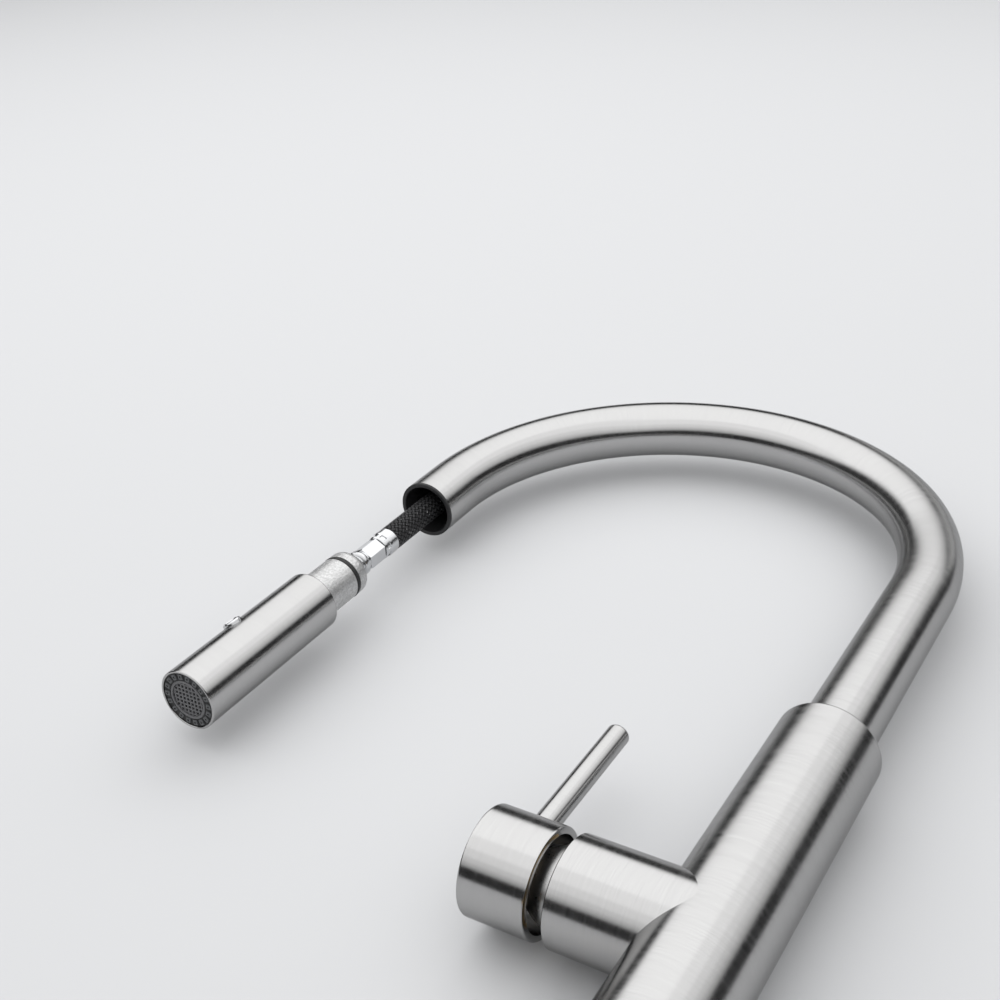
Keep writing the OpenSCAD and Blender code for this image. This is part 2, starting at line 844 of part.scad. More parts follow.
// The bent tube's path as a solid bar, with its ends longer by a given amount
module outlet_path(r, extra) {
  top = block_bottom + tube_socket - 1;
  translate([tube_x, 0, tube_low]) cylinder(r = r, h = top - tube_low + extra);
  translate([tube_x - tube_bend_r, 0, tube_low]) rotate([-90, 0, 0])
    rotate_extrude(angle = 90) translate([tube_bend_r, 0]) circle(r = r);
  translate([tube_x - tube_bend_r, 0, tube_low - tube_bend_r]) rotate([0, -90, 0])
    cylinder(r = r, h = tube_run);
  translate([connector_x + tube_bend_r, 0, tube_low - tube_drop]) rotate([90, 0, 0]) rotate([0, 0, 90])
    rotate_extrude(angle = 90) translate([tube_bend_r, 0]) circle(r = r);
  translate([connector_x, 0, tube_end - extra]) cylinder(r = r, h = connector_over + extra);
}

module tube_rings() {
  color("dimgray")
  for (z = [3.1, 6.5]) translate([connector_x, 0, tube_end + z]) tube(tube_r, tube_r - 0.55, 1.4);
}

module quick_connector() {
  color("dimgray")
  translate([connector_x, 0, connector_low])
  difference() {
    rotate_extrude() polygon([
      [0, 0], [connector_r - 1.5, 0], [connector_r - 1.5, 8], [connector_r, 9.5], [connector_r, 26],
      [connector_r - 1, 26], [connector_r - 1, 31], [connector_r, 31], [connector_r, connector_len - 1],
      [connector_r - 1, connector_len], [0, connector_len]
    ]);
    translate([0, 0, connector_len - connector_over]) cylinder(r = tube_r + run_gap, h = connector_over + 1);
    translate([0, 0, 6]) cylinder(r = 2.6, h = connector_len);
  }
}

module connector_clip() {
  color("lightgray")
  translate([connector_x, 0, connector_low + 26.5])
  rotate([0, 0, 40]) rotate_extrude(angle = 280) translate([connector_r - 0.9, 0]) square([1.6, 4]);
}

module return_collar() {
  color("silver")
  translate([connector_x, 0, connector_low - return_collar_len])
  rotate_extrude() polygon([
    [0, 0.5], [collar_r - 0.5, 0.5], [collar_r, 1], [collar_r, return_collar_len - 2],
    [collar_r - 1, return_collar_len], [0, return_collar_len]
  ]);
}

module weight_half(s) {
  difference() {
    translate([hose_x, 0, weight_z]) rotate_extrude() polygon([
      [hose_r + 0.2, 0], [weight_r - 2, 0], [weight_r, 2], [weight_r, weight_len - 2],
      [weight_r - 2, weight_len], [hose_r + 0.2, weight_len]
    ]);
    translate([hose_x - weight_r - 1, s > 0 ? -weight_r - 1 + 0.1 : -0.1, weight_z - 1])
      cube([2 * weight_r + 2, weight_r + 1, weight_len + 2]);
    weight_screw_holes(weight_screw_r + fixed_gap, 3.4);
  }
}

module weight_screw_holes(r, head_hole_r) {
  for (x = [-1, 1], z = [0.2, 0.8])
    translate([hose_x + x * (hose_r + 4), -weight_r * 0.5, weight_z + z * weight_len]) rotate([-90, 0, 0]) {
      cylinder(r = r, h = weight_r);
      translate([0, 0, -weight_r]) cylinder(r = head_hole_r, h = weight_r);
    }
}

module weight_front() {
  color("gray") weight_half(-1);
}

module weight_back() {
  color("gray") weight_half(1);
}

module weight_screws() {
  color("silver")
  for (x = [-1, 1], z = [0.2, 0.8])
    translate([hose_x + x * (hose_r + 4), -weight_r * 0.5, weight_z + z * weight_len]) rotate([-90, 0, 0]) {
      cylinder(r = weight_screw_r, h = weight_r * 0.9);
      translate([0, 0, -1.6]) cylinder(r = 3.2, h = 1.6);
    }
}

body_shell();
base_ring();
base_seal();
shank();
deck_gasket();
deck_washer();
shank_nut();
nut_screws();
valve_block();
port_seals();
cartridge_base();
fixed_disc();
cartridge_body();
cartridge_nut();
bonnet();
upper_bush();
lower_bush();
spout_clip();
outlet_tube();
tube_rings();
quick_connector();
connector_clip();
return_collar();
hose_body();
hose_return();
spout_tube();
outlet_guide();
hose_spout();
hose_fitting();
fitting_ring();
crimp_collar();
hose_lead();
head_adapter();
adapter_ring();
check_valve();
strainer();
head_shell();
head_core();
nozzle_plate();
face_ring();
aerator_cup();
aerator_screen();
diverter_spring();
button_spring();
mode_button();
diverter_plunger();
stem_carrier();
stem_pin();
moving_disc();
cartridge_stem();
handle_cap();
lever_pin();
set_screw();
screw_plug();
hose_bend();
hose_leg();
weight_front();
weight_back();
weight_screws();
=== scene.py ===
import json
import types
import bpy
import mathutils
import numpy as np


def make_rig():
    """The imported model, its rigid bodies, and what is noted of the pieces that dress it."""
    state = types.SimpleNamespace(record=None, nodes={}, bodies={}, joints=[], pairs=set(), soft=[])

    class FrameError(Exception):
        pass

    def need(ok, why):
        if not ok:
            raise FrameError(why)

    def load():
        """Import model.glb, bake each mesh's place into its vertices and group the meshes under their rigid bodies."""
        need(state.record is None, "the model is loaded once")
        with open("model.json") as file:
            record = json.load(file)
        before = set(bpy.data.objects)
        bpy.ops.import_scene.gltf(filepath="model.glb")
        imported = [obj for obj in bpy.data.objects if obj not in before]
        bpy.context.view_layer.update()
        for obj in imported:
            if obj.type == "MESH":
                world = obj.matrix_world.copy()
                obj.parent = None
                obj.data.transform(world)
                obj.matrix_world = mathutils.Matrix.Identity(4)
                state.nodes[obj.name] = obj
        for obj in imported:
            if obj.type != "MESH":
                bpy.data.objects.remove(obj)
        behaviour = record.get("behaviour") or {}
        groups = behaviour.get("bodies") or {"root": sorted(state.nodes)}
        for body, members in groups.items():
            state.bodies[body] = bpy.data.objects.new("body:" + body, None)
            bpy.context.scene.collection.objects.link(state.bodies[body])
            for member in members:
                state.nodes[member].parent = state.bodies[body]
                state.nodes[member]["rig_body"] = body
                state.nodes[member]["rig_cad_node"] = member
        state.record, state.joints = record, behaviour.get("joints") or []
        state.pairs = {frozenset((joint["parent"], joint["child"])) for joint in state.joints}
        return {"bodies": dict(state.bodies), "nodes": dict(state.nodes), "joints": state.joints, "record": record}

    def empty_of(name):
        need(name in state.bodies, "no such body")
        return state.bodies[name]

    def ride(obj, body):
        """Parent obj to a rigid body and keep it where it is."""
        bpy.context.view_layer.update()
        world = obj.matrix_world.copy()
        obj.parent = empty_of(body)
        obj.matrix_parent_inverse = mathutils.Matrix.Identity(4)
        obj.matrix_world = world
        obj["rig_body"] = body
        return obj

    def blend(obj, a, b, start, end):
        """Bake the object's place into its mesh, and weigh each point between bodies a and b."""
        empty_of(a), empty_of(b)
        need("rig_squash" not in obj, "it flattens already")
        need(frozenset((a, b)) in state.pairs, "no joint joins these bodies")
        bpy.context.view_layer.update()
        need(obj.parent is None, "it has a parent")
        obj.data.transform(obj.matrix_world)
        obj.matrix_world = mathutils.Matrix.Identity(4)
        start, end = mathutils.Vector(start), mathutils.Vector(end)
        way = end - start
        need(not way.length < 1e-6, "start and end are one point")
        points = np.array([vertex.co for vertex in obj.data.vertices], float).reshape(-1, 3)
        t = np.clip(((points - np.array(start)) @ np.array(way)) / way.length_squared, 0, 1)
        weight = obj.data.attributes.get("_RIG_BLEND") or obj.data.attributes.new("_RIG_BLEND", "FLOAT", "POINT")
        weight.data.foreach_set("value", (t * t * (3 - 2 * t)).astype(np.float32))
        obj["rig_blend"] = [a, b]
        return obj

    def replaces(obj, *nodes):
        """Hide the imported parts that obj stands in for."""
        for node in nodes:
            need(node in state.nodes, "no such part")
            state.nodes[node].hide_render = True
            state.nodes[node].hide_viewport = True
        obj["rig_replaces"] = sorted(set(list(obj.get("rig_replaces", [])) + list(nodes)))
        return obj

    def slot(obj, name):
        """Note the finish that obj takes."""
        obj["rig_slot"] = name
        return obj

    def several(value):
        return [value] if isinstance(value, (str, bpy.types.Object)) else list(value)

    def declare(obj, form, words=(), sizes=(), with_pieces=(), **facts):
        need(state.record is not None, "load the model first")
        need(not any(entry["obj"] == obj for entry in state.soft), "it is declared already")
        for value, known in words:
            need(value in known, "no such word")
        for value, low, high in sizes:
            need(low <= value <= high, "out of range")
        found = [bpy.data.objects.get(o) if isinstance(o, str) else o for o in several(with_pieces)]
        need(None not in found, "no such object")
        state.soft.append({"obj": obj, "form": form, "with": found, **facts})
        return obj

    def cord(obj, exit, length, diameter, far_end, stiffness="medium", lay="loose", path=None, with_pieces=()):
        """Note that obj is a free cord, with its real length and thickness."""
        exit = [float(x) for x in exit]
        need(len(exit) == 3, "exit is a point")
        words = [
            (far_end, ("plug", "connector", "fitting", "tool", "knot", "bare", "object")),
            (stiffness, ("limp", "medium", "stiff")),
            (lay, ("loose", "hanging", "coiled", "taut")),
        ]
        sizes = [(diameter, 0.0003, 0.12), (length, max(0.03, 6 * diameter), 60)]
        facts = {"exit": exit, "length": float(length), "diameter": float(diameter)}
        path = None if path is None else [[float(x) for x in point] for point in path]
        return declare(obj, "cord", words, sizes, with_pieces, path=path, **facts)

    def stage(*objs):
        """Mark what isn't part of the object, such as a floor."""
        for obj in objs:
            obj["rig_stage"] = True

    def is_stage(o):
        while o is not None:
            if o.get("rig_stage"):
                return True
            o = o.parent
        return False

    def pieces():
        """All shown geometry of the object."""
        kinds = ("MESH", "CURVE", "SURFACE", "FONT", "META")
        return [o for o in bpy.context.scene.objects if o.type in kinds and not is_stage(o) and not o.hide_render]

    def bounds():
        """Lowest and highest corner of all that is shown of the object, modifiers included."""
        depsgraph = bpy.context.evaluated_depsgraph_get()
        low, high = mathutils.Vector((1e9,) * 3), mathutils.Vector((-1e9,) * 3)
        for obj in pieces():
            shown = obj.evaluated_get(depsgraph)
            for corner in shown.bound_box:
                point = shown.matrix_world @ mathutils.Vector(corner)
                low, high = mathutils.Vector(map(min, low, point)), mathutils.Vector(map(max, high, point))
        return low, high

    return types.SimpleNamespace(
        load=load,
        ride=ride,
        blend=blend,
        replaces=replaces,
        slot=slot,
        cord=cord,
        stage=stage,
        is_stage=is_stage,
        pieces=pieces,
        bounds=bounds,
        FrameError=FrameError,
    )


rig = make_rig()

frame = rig.load()

import json
import math

import bpy
from mathutils import Euler, Matrix, Vector, geometry, kdtree

bl_info = {
    "name": "Pull-down faucet",
    "version": (1, 0, 0),
    "blender": (4, 5, 0),
    "location": "3D View > Sidebar > Faucet",
    "description": "Builds the looks of a pull-down kitchen faucet around its packed frame",
    "category": "Add Mesh",
}

MM = 0.001
UP = Vector((0, 0, 1))
ACROSS = Vector((0, 1, 0))


# ---- Camera ----

def place_camera():
    """Stands the camera above the lying faucet, off the arch's side."""
    bpy.ops.object.camera_add()
    camera = bpy.context.object
    camera.name = "viewing_camera"
    right = Vector((0.85729, 0.05274, 0.51212)).normalized()
    ahead = Vector((-0.47219, 0.47691, 0.74134)).normalized()
    up = right.cross(ahead)
    right = ahead.cross(up)
    turn = Matrix((right, up, -ahead)).transposed().to_4x4()
    camera.matrix_world = Matrix.Translation((0.12401, -0.33291, -0.24226)) @ turn
    camera.data.sensor_width = 36
    camera.data.lens = 51.36
    camera.data.clip_start = 0.01
    camera.data.clip_end = 50
    bpy.context.scene.camera = camera


# ---- Hose ----

BEND_X = -116.5
BEND_Z = 276.0
OUTLET_X = -233.0
HOSE_X = 8.3
LOOP_R = 50
LOOP_Z = -394

HEAD_AT = (OUTLET_X, 0, 0)
HUB_AT = (0, 0, 57)
LEVER_AT = (-71.5, 0, 57)
BUTTON_AT = (OUTLET_X, 0, 118.25)
BUTTON_TURN = (0, math.pi / 2, math.radians(234))
RETURN_AT = (-42, 0, 0)
FLOOR_AT = (-0.4, 0.024, 0.6)


def bend_point(degrees):
    """A point on the spout's middle line, on the bend, in millimetres."""
    a = math.radians(degrees)
    return (BEND_X - BEND_X * math.cos(a), BEND_Z - BEND_X * math.sin(a))


def loop_point(degrees):
    """A point on the bend at the bottom of the hose's loop, in millimetres."""
    a = math.radians(degrees)
    return (HOSE_X - LOOP_R + LOOP_R * math.cos(a), LOOP_Z - LOOP_R * math.sin(a))


OUT_ROUTE = [(OUTLET_X, 218.9), (OUTLET_X, 226), (OUTLET_X, 234), (OUTLET_X, 242), (OUTLET_X, 250),
             (OUTLET_X, 258), (OUTLET_X, 267)] + [bend_point(180 - 4 * i) for i in range(6)]
OVER_ROUTE = [bend_point(160 - 10 * i) for i in range(17)] + [
    (0, 250), (0, 225), (0, 200), (0, 175), (0, 150)
]
LOW_ROUTE = [
    (0, 150), (0, 142), (1, 130), (2.8, 120), (5.2, 108), (7.2, 97), (8.2, 86), (HOSE_X, 74), (HOSE_X, 52),
    (HOSE_X, 20), (HOSE_X, -60), (HOSE_X, -140), (HOSE_X, -220), (HOSE_X, -300), (HOSE_X, -360),
    (HOSE_X, -386), (HOSE_X, LOOP_Z)
] + [loop_point(a) for a in range(15, 180, 15)] + [
    (-91.7, -394), (-91.5, -376), (-89, -350), (-83, -320), (-74, -292), (-64, -264),
    (-54, -236), (-46, -210), (-42.5, -188), (-42, -165)
]


def smooth_line(points):
    """Draws a smooth curve through points of the arch's plane and gives its object."""
    clear_selection()
    bpy.ops.curve.primitive_bezier_curve_add()
    line = bpy.context.object
    spline = line.data.splines[0]
    spline.bezier_points.add(len(points) - 2)
    for knot, (x, z) in zip(spline.bezier_points, points):
        knot.co = (x * MM, 0, z * MM)
        knot.handle_left_type = knot.handle_right_type = "AUTO"
    spline.resolution_u = 6
    line.data.resolution_u = 6
    return line


def line_samples(line, steps=7):
    """Points along a curve object, as close together as its mesh rings."""
    bpy.context.view_layer.update()
    knots = line.data.splines[0].bezier_points
    found = []
    for a, b in zip(knots, knots[1:]):
        part = geometry.interpolate_bezier(a.co, a.handle_right, b.handle_left, b.co, steps)
        found += part[:-1]
    return found + [knots[-1].co.copy()]


def hose_length(name, points, radius):
    """One length of hose as a mesh tube, its real length and its middle line."""
    line = smooth_line(points)
    samples = line_samples(line)
    line.data.bevel_depth = radius
    line.data.bevel_resolution = 8
    line.data.use_fill_caps = True
    bpy.ops.object.convert(target="MESH")
    tube = bpy.context.object
    tube.name = name
    weld(tube)
    lengths = [0.0]
    for a, b in zip(samples, samples[1:]):
        lengths.append(lengths[-1] + (b - a).length)
    tree = kdtree.KDTree(len(samples))
    for i, p in enumerate(samples):
        tree.insert(p, i)
    tree.balance()

    def along_hose(co):
        near, i, _ = tree.find(co)
        ahead = (samples[min(i + 1, len(samples) - 1)] - samples[max(i - 1, 0)]).normalized()
        return co - near, lengths[i] + (co - near).dot(ahead), ahead

    mark(tube, along_hose)
    smooth(tube, 60)
    return tube, lengths[-1], samples


# ---- Modelling helpers ----

def clear_selection():
    """Leaves edit mode and deselects everything."""
    if bpy.context.object and bpy.context.object.mode != "OBJECT":
        bpy.ops.object.mode_set(mode="OBJECT")
    bpy.ops.object.select_all(action="DESELECT")


def pick(*objects):
    """Selects only these objects and makes the first one active."""
    clear_selection()
    for o in objects:
        o.select_set(True)
    bpy.context.view_layer.objects.active = objects[0]


def pick_faces(piece, rule):
    """Opens a piece for editing with only the faces that fit a rule selected."""
    pick(piece)
    bpy.ops.object.mode_set(mode="EDIT")
    bpy.ops.mesh.select_mode(type="FACE")
    bpy.ops.mesh.select_all(action="DESELECT")
    bpy.ops.object.mode_set(mode="OBJECT")
    for face in piece.data.polygons:
        face.select = rule(face)
    bpy.ops.object.mode_set(mode="EDIT")


def weld(piece, gap=1e-6):
    """Merges doubles and turns the normals outwards."""
    pick(piece)
    bpy.ops.object.mode_set(mode="EDIT")
    bpy.ops.mesh.select_all(action="SELECT")
    bpy.ops.mesh.remove_doubles(threshold=gap)
    bpy.ops.mesh.normals_make_consistent(inside=False)
    bpy.ops.object.mode_set(mode="OBJECT")


def smooth(piece, degrees=32):
    """Smooth shading up to an angle between faces."""
    pick(piece)
    bpy.ops.object.shade_smooth_by_angle(angle=math.radians(degrees))


def mark(piece, rule):
    """Stores on each point how it lies on its piece, and the way its sheen is drawn out."""
    for name in ("lay", "groove"):
        old = piece.data.attributes.get(name)
        if old:
            piece.data.attributes.remove(old)
        piece.data.attributes.new(name, "FLOAT_VECTOR", "POINT")
    lay = piece.data.attributes["lay"]
    groove = piece.data.attributes["groove"]
    for v in piece.data.vertices:
        gap, along, axis = rule(v.co)
        side = side_of(axis)
        radial = gap - gap.dot(axis) * axis
        lay.data[v.index].vector = (gap.dot(side), gap.dot(axis.cross(side)), along - radial.length)
        groove.data[v.index].vector = axis + 0.5 * radial.normalized()


def side_of(axis):
    """A fixed direction at right angles to an axis of the arch's plane."""
    return ACROSS if abs(axis.dot(ACROSS)) < 0.5 else UP.cross(axis).normalized()


def turned_mark(piece, centre, turn):
    """Marks a turned piece by its own axis."""
    axis = Euler(turn).to_matrix() @ UP
    foot = Vector(centre) * MM

    def rule(co):
        return co - foot, (co - foot).dot(axis), axis

    mark(piece, rule)


def place(piece, centre, turn):
    """Turns and moves a piece modelled upright at the origin, and applies both."""
    pick(piece)
    piece.rotation_euler = turn
    piece.location = Vector(centre) * MM
    bpy.ops.object.transform_apply(location=True, rotation=True, scale=True)


def supported(steps):
    """The same steps with rings added close to both ends of each long one, to keep its shading true."""
    rings = [steps[0]]
    for (r0, h0), (r1, h1) in zip(steps, steps[1:]):
        length = math.hypot(r1 - r0, h1 - h0)
        if length > 2.5:
            for t in (0.2 / length, 1 - 0.2 / length):
                rings.append((r0 + (r1 - r0) * t, h0 + (h1 - h0) * t))
        rings.append((r1, h1))
    return rings


def turned(name, steps, centre=(0, 0, 0), turn=(0, 0, 0), sides=96, closed=False):
    """A turned piece: a ring extruded and resized through (radius, height) steps in millimetres."""
    clear_selection()
    rings = supported(list(steps) + ([steps[0]] if closed else []))
    radius, height = rings[0]
    bpy.ops.mesh.primitive_circle_add(vertices=sides, radius=radius * MM, location=(0, 0, height * MM))
    piece = bpy.context.object
    piece.name = name
    bpy.ops.object.transform_apply(location=True, rotation=True, scale=True)
    bpy.ops.object.mode_set(mode="EDIT")
    bpy.ops.mesh.select_all(action="SELECT")
    for r, h in rings[1:]:
        bpy.ops.mesh.extrude_region_move(TRANSFORM_OT_translate={"value": (0, 0, (h - height) * MM)})
        if abs(r - radius) > 1e-7:
            bpy.ops.transform.resize(value=(r / radius, r / radius, 1), center_override=(0, 0, h * MM))
        radius, height = r, h
    bpy.ops.mesh.select_all(action="SELECT")
    bpy.ops.mesh.remove_doubles(threshold=1e-6)
    if not closed:
        bpy.ops.mesh.fill_holes(sides=0)
    bpy.ops.mesh.normals_make_consistent(inside=False)
    bpy.ops.object.mode_set(mode="OBJECT")
    place(piece, centre, turn)
    turned_mark(piece, centre, turn)
    smooth(piece)
    return piece


def joined(name, pieces):
    """Joins pieces into one object."""
    pick(*pieces)
    if len(pieces) > 1:
        bpy.ops.object.join()
    piece = bpy.context.object
    piece.name = name
    return piece


def cut(piece, tool, centre, turn=(0, 0, 0)):
    """Takes the tool's solid out of a turned piece and marks the piece again."""
    pick(piece)
    modifier = piece.modifiers.new("hole", "BOOLEAN")
    modifier.operation = "DIFFERENCE"
    modifier.solver = "EXACT"
    modifier.object = tool
    bpy.ops.object.modifier_apply(modifier=modifier.name)
    pick(tool)
    bpy.ops.object.delete()
    turned_mark(piece, centre, turn)
    smooth(piece)


def finished(piece, material, body, slot, *nodes):
    """Gives a piece its finish and slot, the body it rides on and the frame nodes it stands for."""
    if material:
        piece.data.materials.clear()
        piece.data.materials.append(material)
    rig.slot(piece, slot)
    if body:
        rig.ride(piece, body)
    if nodes:
        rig.replaces(piece, *nodes)
    return piece


# ---- Finishes ----

class Weave:
    """Adds and links the nodes of one material."""

    def __init__(self, name):
        self.material = bpy.data.materials.get(name) or bpy.data.materials.new(name)
        self.material.use_nodes = True
        self.tree = self.material.node_tree
        self.tree.nodes.clear()
        self.out = self.tree.nodes.new("ShaderNodeOutputMaterial")
        self.shader = self.tree.nodes.new("ShaderNodeBsdfPrincipled")
        self.tree.links.new(self.shader.outputs[0], self.out.inputs[0])

    def put(self, target, value):
        if isinstance(value, bpy.types.NodeSocket):
            self.tree.links.new(value, target)
        else:
            target.default_value = value

    def math(self, operation, a, b=0.0):
        node = self.tree.nodes.new("ShaderNodeMath")
        node.operation = operation
        self.put(node.inputs[0], a)
        self.put(node.inputs[1], b)
        return node.outputs[0]

    def span(self, value, low, high, to_low, to_high):
        node = self.tree.nodes.new("ShaderNodeMapRange")
        for socket, x in zip(node.inputs, (value, low, high, to_low, to_high)):
            self.put(socket, x)
        return node.outputs[0]

    def spot(self, source, scale):
        """Where a point lies, stretched by a scale, from an attribute or else from the object."""
        if source:
            node = self.tree.nodes.new("ShaderNodeAttribute")
            node.attribute_name = source
            vector = node.outputs["Vector"]
        else:
            vector = self.tree.nodes.new("ShaderNodeTexCoord").outputs["Object"]
        mapping = self.tree.nodes.new("ShaderNodeMapping")
        mapping.inputs["Scale"].default_value = scale
        self.tree.links.new(vector, mapping.inputs[0])
        return mapping.outputs[0]

    def noise(self, vector, detail=3.0, roughness=0.55, scale=1.0):
        node = self.tree.nodes.new("ShaderNodeTexNoise")
        node.inputs["Scale"].default_value = scale
        node.inputs["Detail"].default_value = detail
        node.inputs["Roughness"].default_value = roughness
        self.tree.links.new(vector, node.inputs["Vector"])
        return node.outputs[0]

    def blend(self, amount, a, b):
        node = self.tree.nodes.new("ShaderNodeMix")
        node.data_type = "RGBA"
        self.put(node.inputs[0], amount)
        self.put(node.inputs[6], a)
        self.put(node.inputs[7], b)
        return node.outputs[2]

    def bump(self, height, strength, distance, normal=None):
        node = self.tree.nodes.new("ShaderNodeBump")
        node.inputs["Strength"].default_value = strength
        node.inputs["Distance"].default_value = distance
        self.tree.links.new(height, node.inputs["Height"])
        if normal:
            self.tree.links.new(normal, node.inputs["Normal"])
        return node.outputs[0]


def tint(colour, k):
    return tuple(min(1.0, c * k) for c in colour[:3]) + (1.0,)


def brushed(name, colour, rough=0.2, grain=1.0, depth=0.000016, streak=0.1):
    """Brushed steel, its lines running round the piece's own axis."""
    w = Weave(name)
    fine = w.noise(w.spot("lay", (90, 90, 5200 * grain)), 4.0, 0.65)
    coarse = w.noise(w.spot("lay", (26, 26, 1300 * grain)), 2.0, 0.5)
    cloud = w.noise(w.spot("lay", (30, 30, 30)), 2.0, 0.5)
    w.put(w.shader.inputs["Metallic"], 1.0)
    w.put(w.shader.inputs["Base Color"], w.blend(fine, tint(colour, 0.88), tint(colour, 1.08)))
    lines = w.span(coarse, 0.3, 0.7, rough - streak / 4, rough + streak / 2)
    level = w.math("ADD", lines, w.span(cloud, 0.3, 0.7, -0.02, 0.02))
    w.put(w.shader.inputs["Roughness"], level)
    w.put(w.shader.inputs["Anisotropic"], 0.6)
    w.put(w.shader.inputs["Specular Tint"], (0.6, 0.6, 0.6, 1))
    tangent = w.tree.nodes.new("ShaderNodeAttribute")
    tangent.attribute_name = "groove"
    turn = w.tree.nodes.new("ShaderNodeVectorTransform")
    turn.vector_type = "VECTOR"
    turn.convert_from = "OBJECT"
    turn.convert_to = "WORLD"
    w.tree.links.new(tangent.outputs["Vector"], turn.inputs[0])
    w.tree.links.new(turn.outputs[0], w.shader.inputs["Tangent"])
    w.put(w.shader.inputs["Normal"], w.bump(fine, 0.4, depth, w.bump(coarse, 0.1, depth)))
    return w.material


def plain(name, colour, metallic, rough, grain=900.0, bump=0.25, depth=0.00006, spread=0.1, coat=0.0):
    """A worked surface: grain, worn patches and an uneven sheen."""
    w = Weave(name)
    fine = w.noise(w.spot(None, (grain, grain, grain)), 3.0, 0.6)
    worn = w.noise(w.spot(None, (110, 110, 110)), 4.0, 0.6)
    w.put(w.shader.inputs["Metallic"], metallic)
    w.put(w.shader.inputs["Base Color"], w.blend(worn, tint(colour, 0.86), tint(colour, 1.12)))
    patches = w.span(worn, 0.3, 0.7, rough - spread / 2, rough + spread / 2)
    w.put(w.shader.inputs["Roughness"], w.math("ADD", patches, w.span(fine, 0.3, 0.7, -0.03, 0.03)))
    w.put(w.shader.inputs["Coat Weight"], coat)
    w.put(w.shader.inputs["Normal"], w.bump(fine, bump, depth))
    return w.material


def tumbled(name, colour):
    """Tumbled cast metal: small flats and blisters over faint turning lines."""
    w = Weave(name)
    dents = w.noise(w.spot("lay", (1250, 1250, 800)), 3.0, 0.7)
    lines = w.noise(w.spot("lay", (60, 60, 3600)), 3.0, 0.6)
    marks = w.span(dents, 0.36, 0.62, 0.0, 1.0)
    w.put(w.shader.inputs["Metallic"], 1.0)
    w.put(w.shader.inputs["Base Color"], w.blend(marks, tint(colour, 0.8), tint(colour, 1.12)))
    w.put(w.shader.inputs["Roughness"], w.span(dents, 0.3, 0.7, 0.42, 0.27))
    w.put(w.shader.inputs["Normal"], w.bump(lines, 0.5, 0.00002, w.bump(dents, 0.8, 0.0003)))
    return w.material


def braided(name, colour, speck):
    """Woven yarns: two families of helical strands that pass over and under each other."""
    w = Weave(name)
    attribute = w.tree.nodes.new("ShaderNodeAttribute")
    attribute.attribute_name = "lay"
    parts = w.tree.nodes.new("ShaderNodeSeparateXYZ")
    w.tree.links.new(attribute.outputs["Vector"], parts.inputs[0])
    around = w.math("MULTIPLY", w.math("ARCTAN2", parts.outputs[0], parts.outputs[1]), 16 / math.tau)
    along = w.math("MULTIPLY", parts.outputs[2], 1 / 0.0029)
    a = w.math("ADD", w.math("ADD", around, along), 400.0)
    b = w.math("ADD", w.math("SUBTRACT", around, along), 1400.0)

    def ridge(phase):
        x = w.math("SUBTRACT", w.math("MULTIPLY", w.math("FRACT", phase), 2.0), 1.0)
        return w.math("SUBTRACT", 1.0, w.math("MULTIPLY", x, x))

    cell = w.math("MODULO", w.math("ADD", w.math("FLOOR", a), w.math("FLOOR", b)), 2.0)
    over = w.math("GREATER_THAN", cell, 0.5)
    under = w.math("SUBTRACT", 1.0, over)
    top = w.math("ADD", w.math("MULTIPLY", over, ridge(a)), w.math("MULTIPLY", under, ridge(b)))
    threads = w.noise(w.spot("lay", (4200, 4200, 2600)), 2.0, 0.6)
    height = w.math("ADD", top, w.math("MULTIPLY", threads, 0.12))
    flecks = w.span(w.noise(w.spot("lay", (1100, 1100, 1100)), 0.0, 0.5), 0.8, 0.83, 0.0, 0.7)
    # Painted shade: the yarn colour is darkened in the valleys between the strands and lightened on the yarn tops.
    shade = w.blend(w.span(top, 0.1, 0.8, 0.0, 1.0), tint(colour, 0.1), tint(colour, 1.4))
    w.put(w.shader.inputs["Base Color"], w.blend(flecks, shade, speck))
    w.put(w.shader.inputs["Roughness"], w.span(threads, 0.3, 0.7, 0.36, 0.5))
    w.put(w.shader.inputs["Specular IOR Level"], w.span(top, 0.2, 0.8, 0.03, 0.32))
    w.put(w.shader.inputs["Normal"], w.bump(height, 1.0, 0.0007))
    return w.material


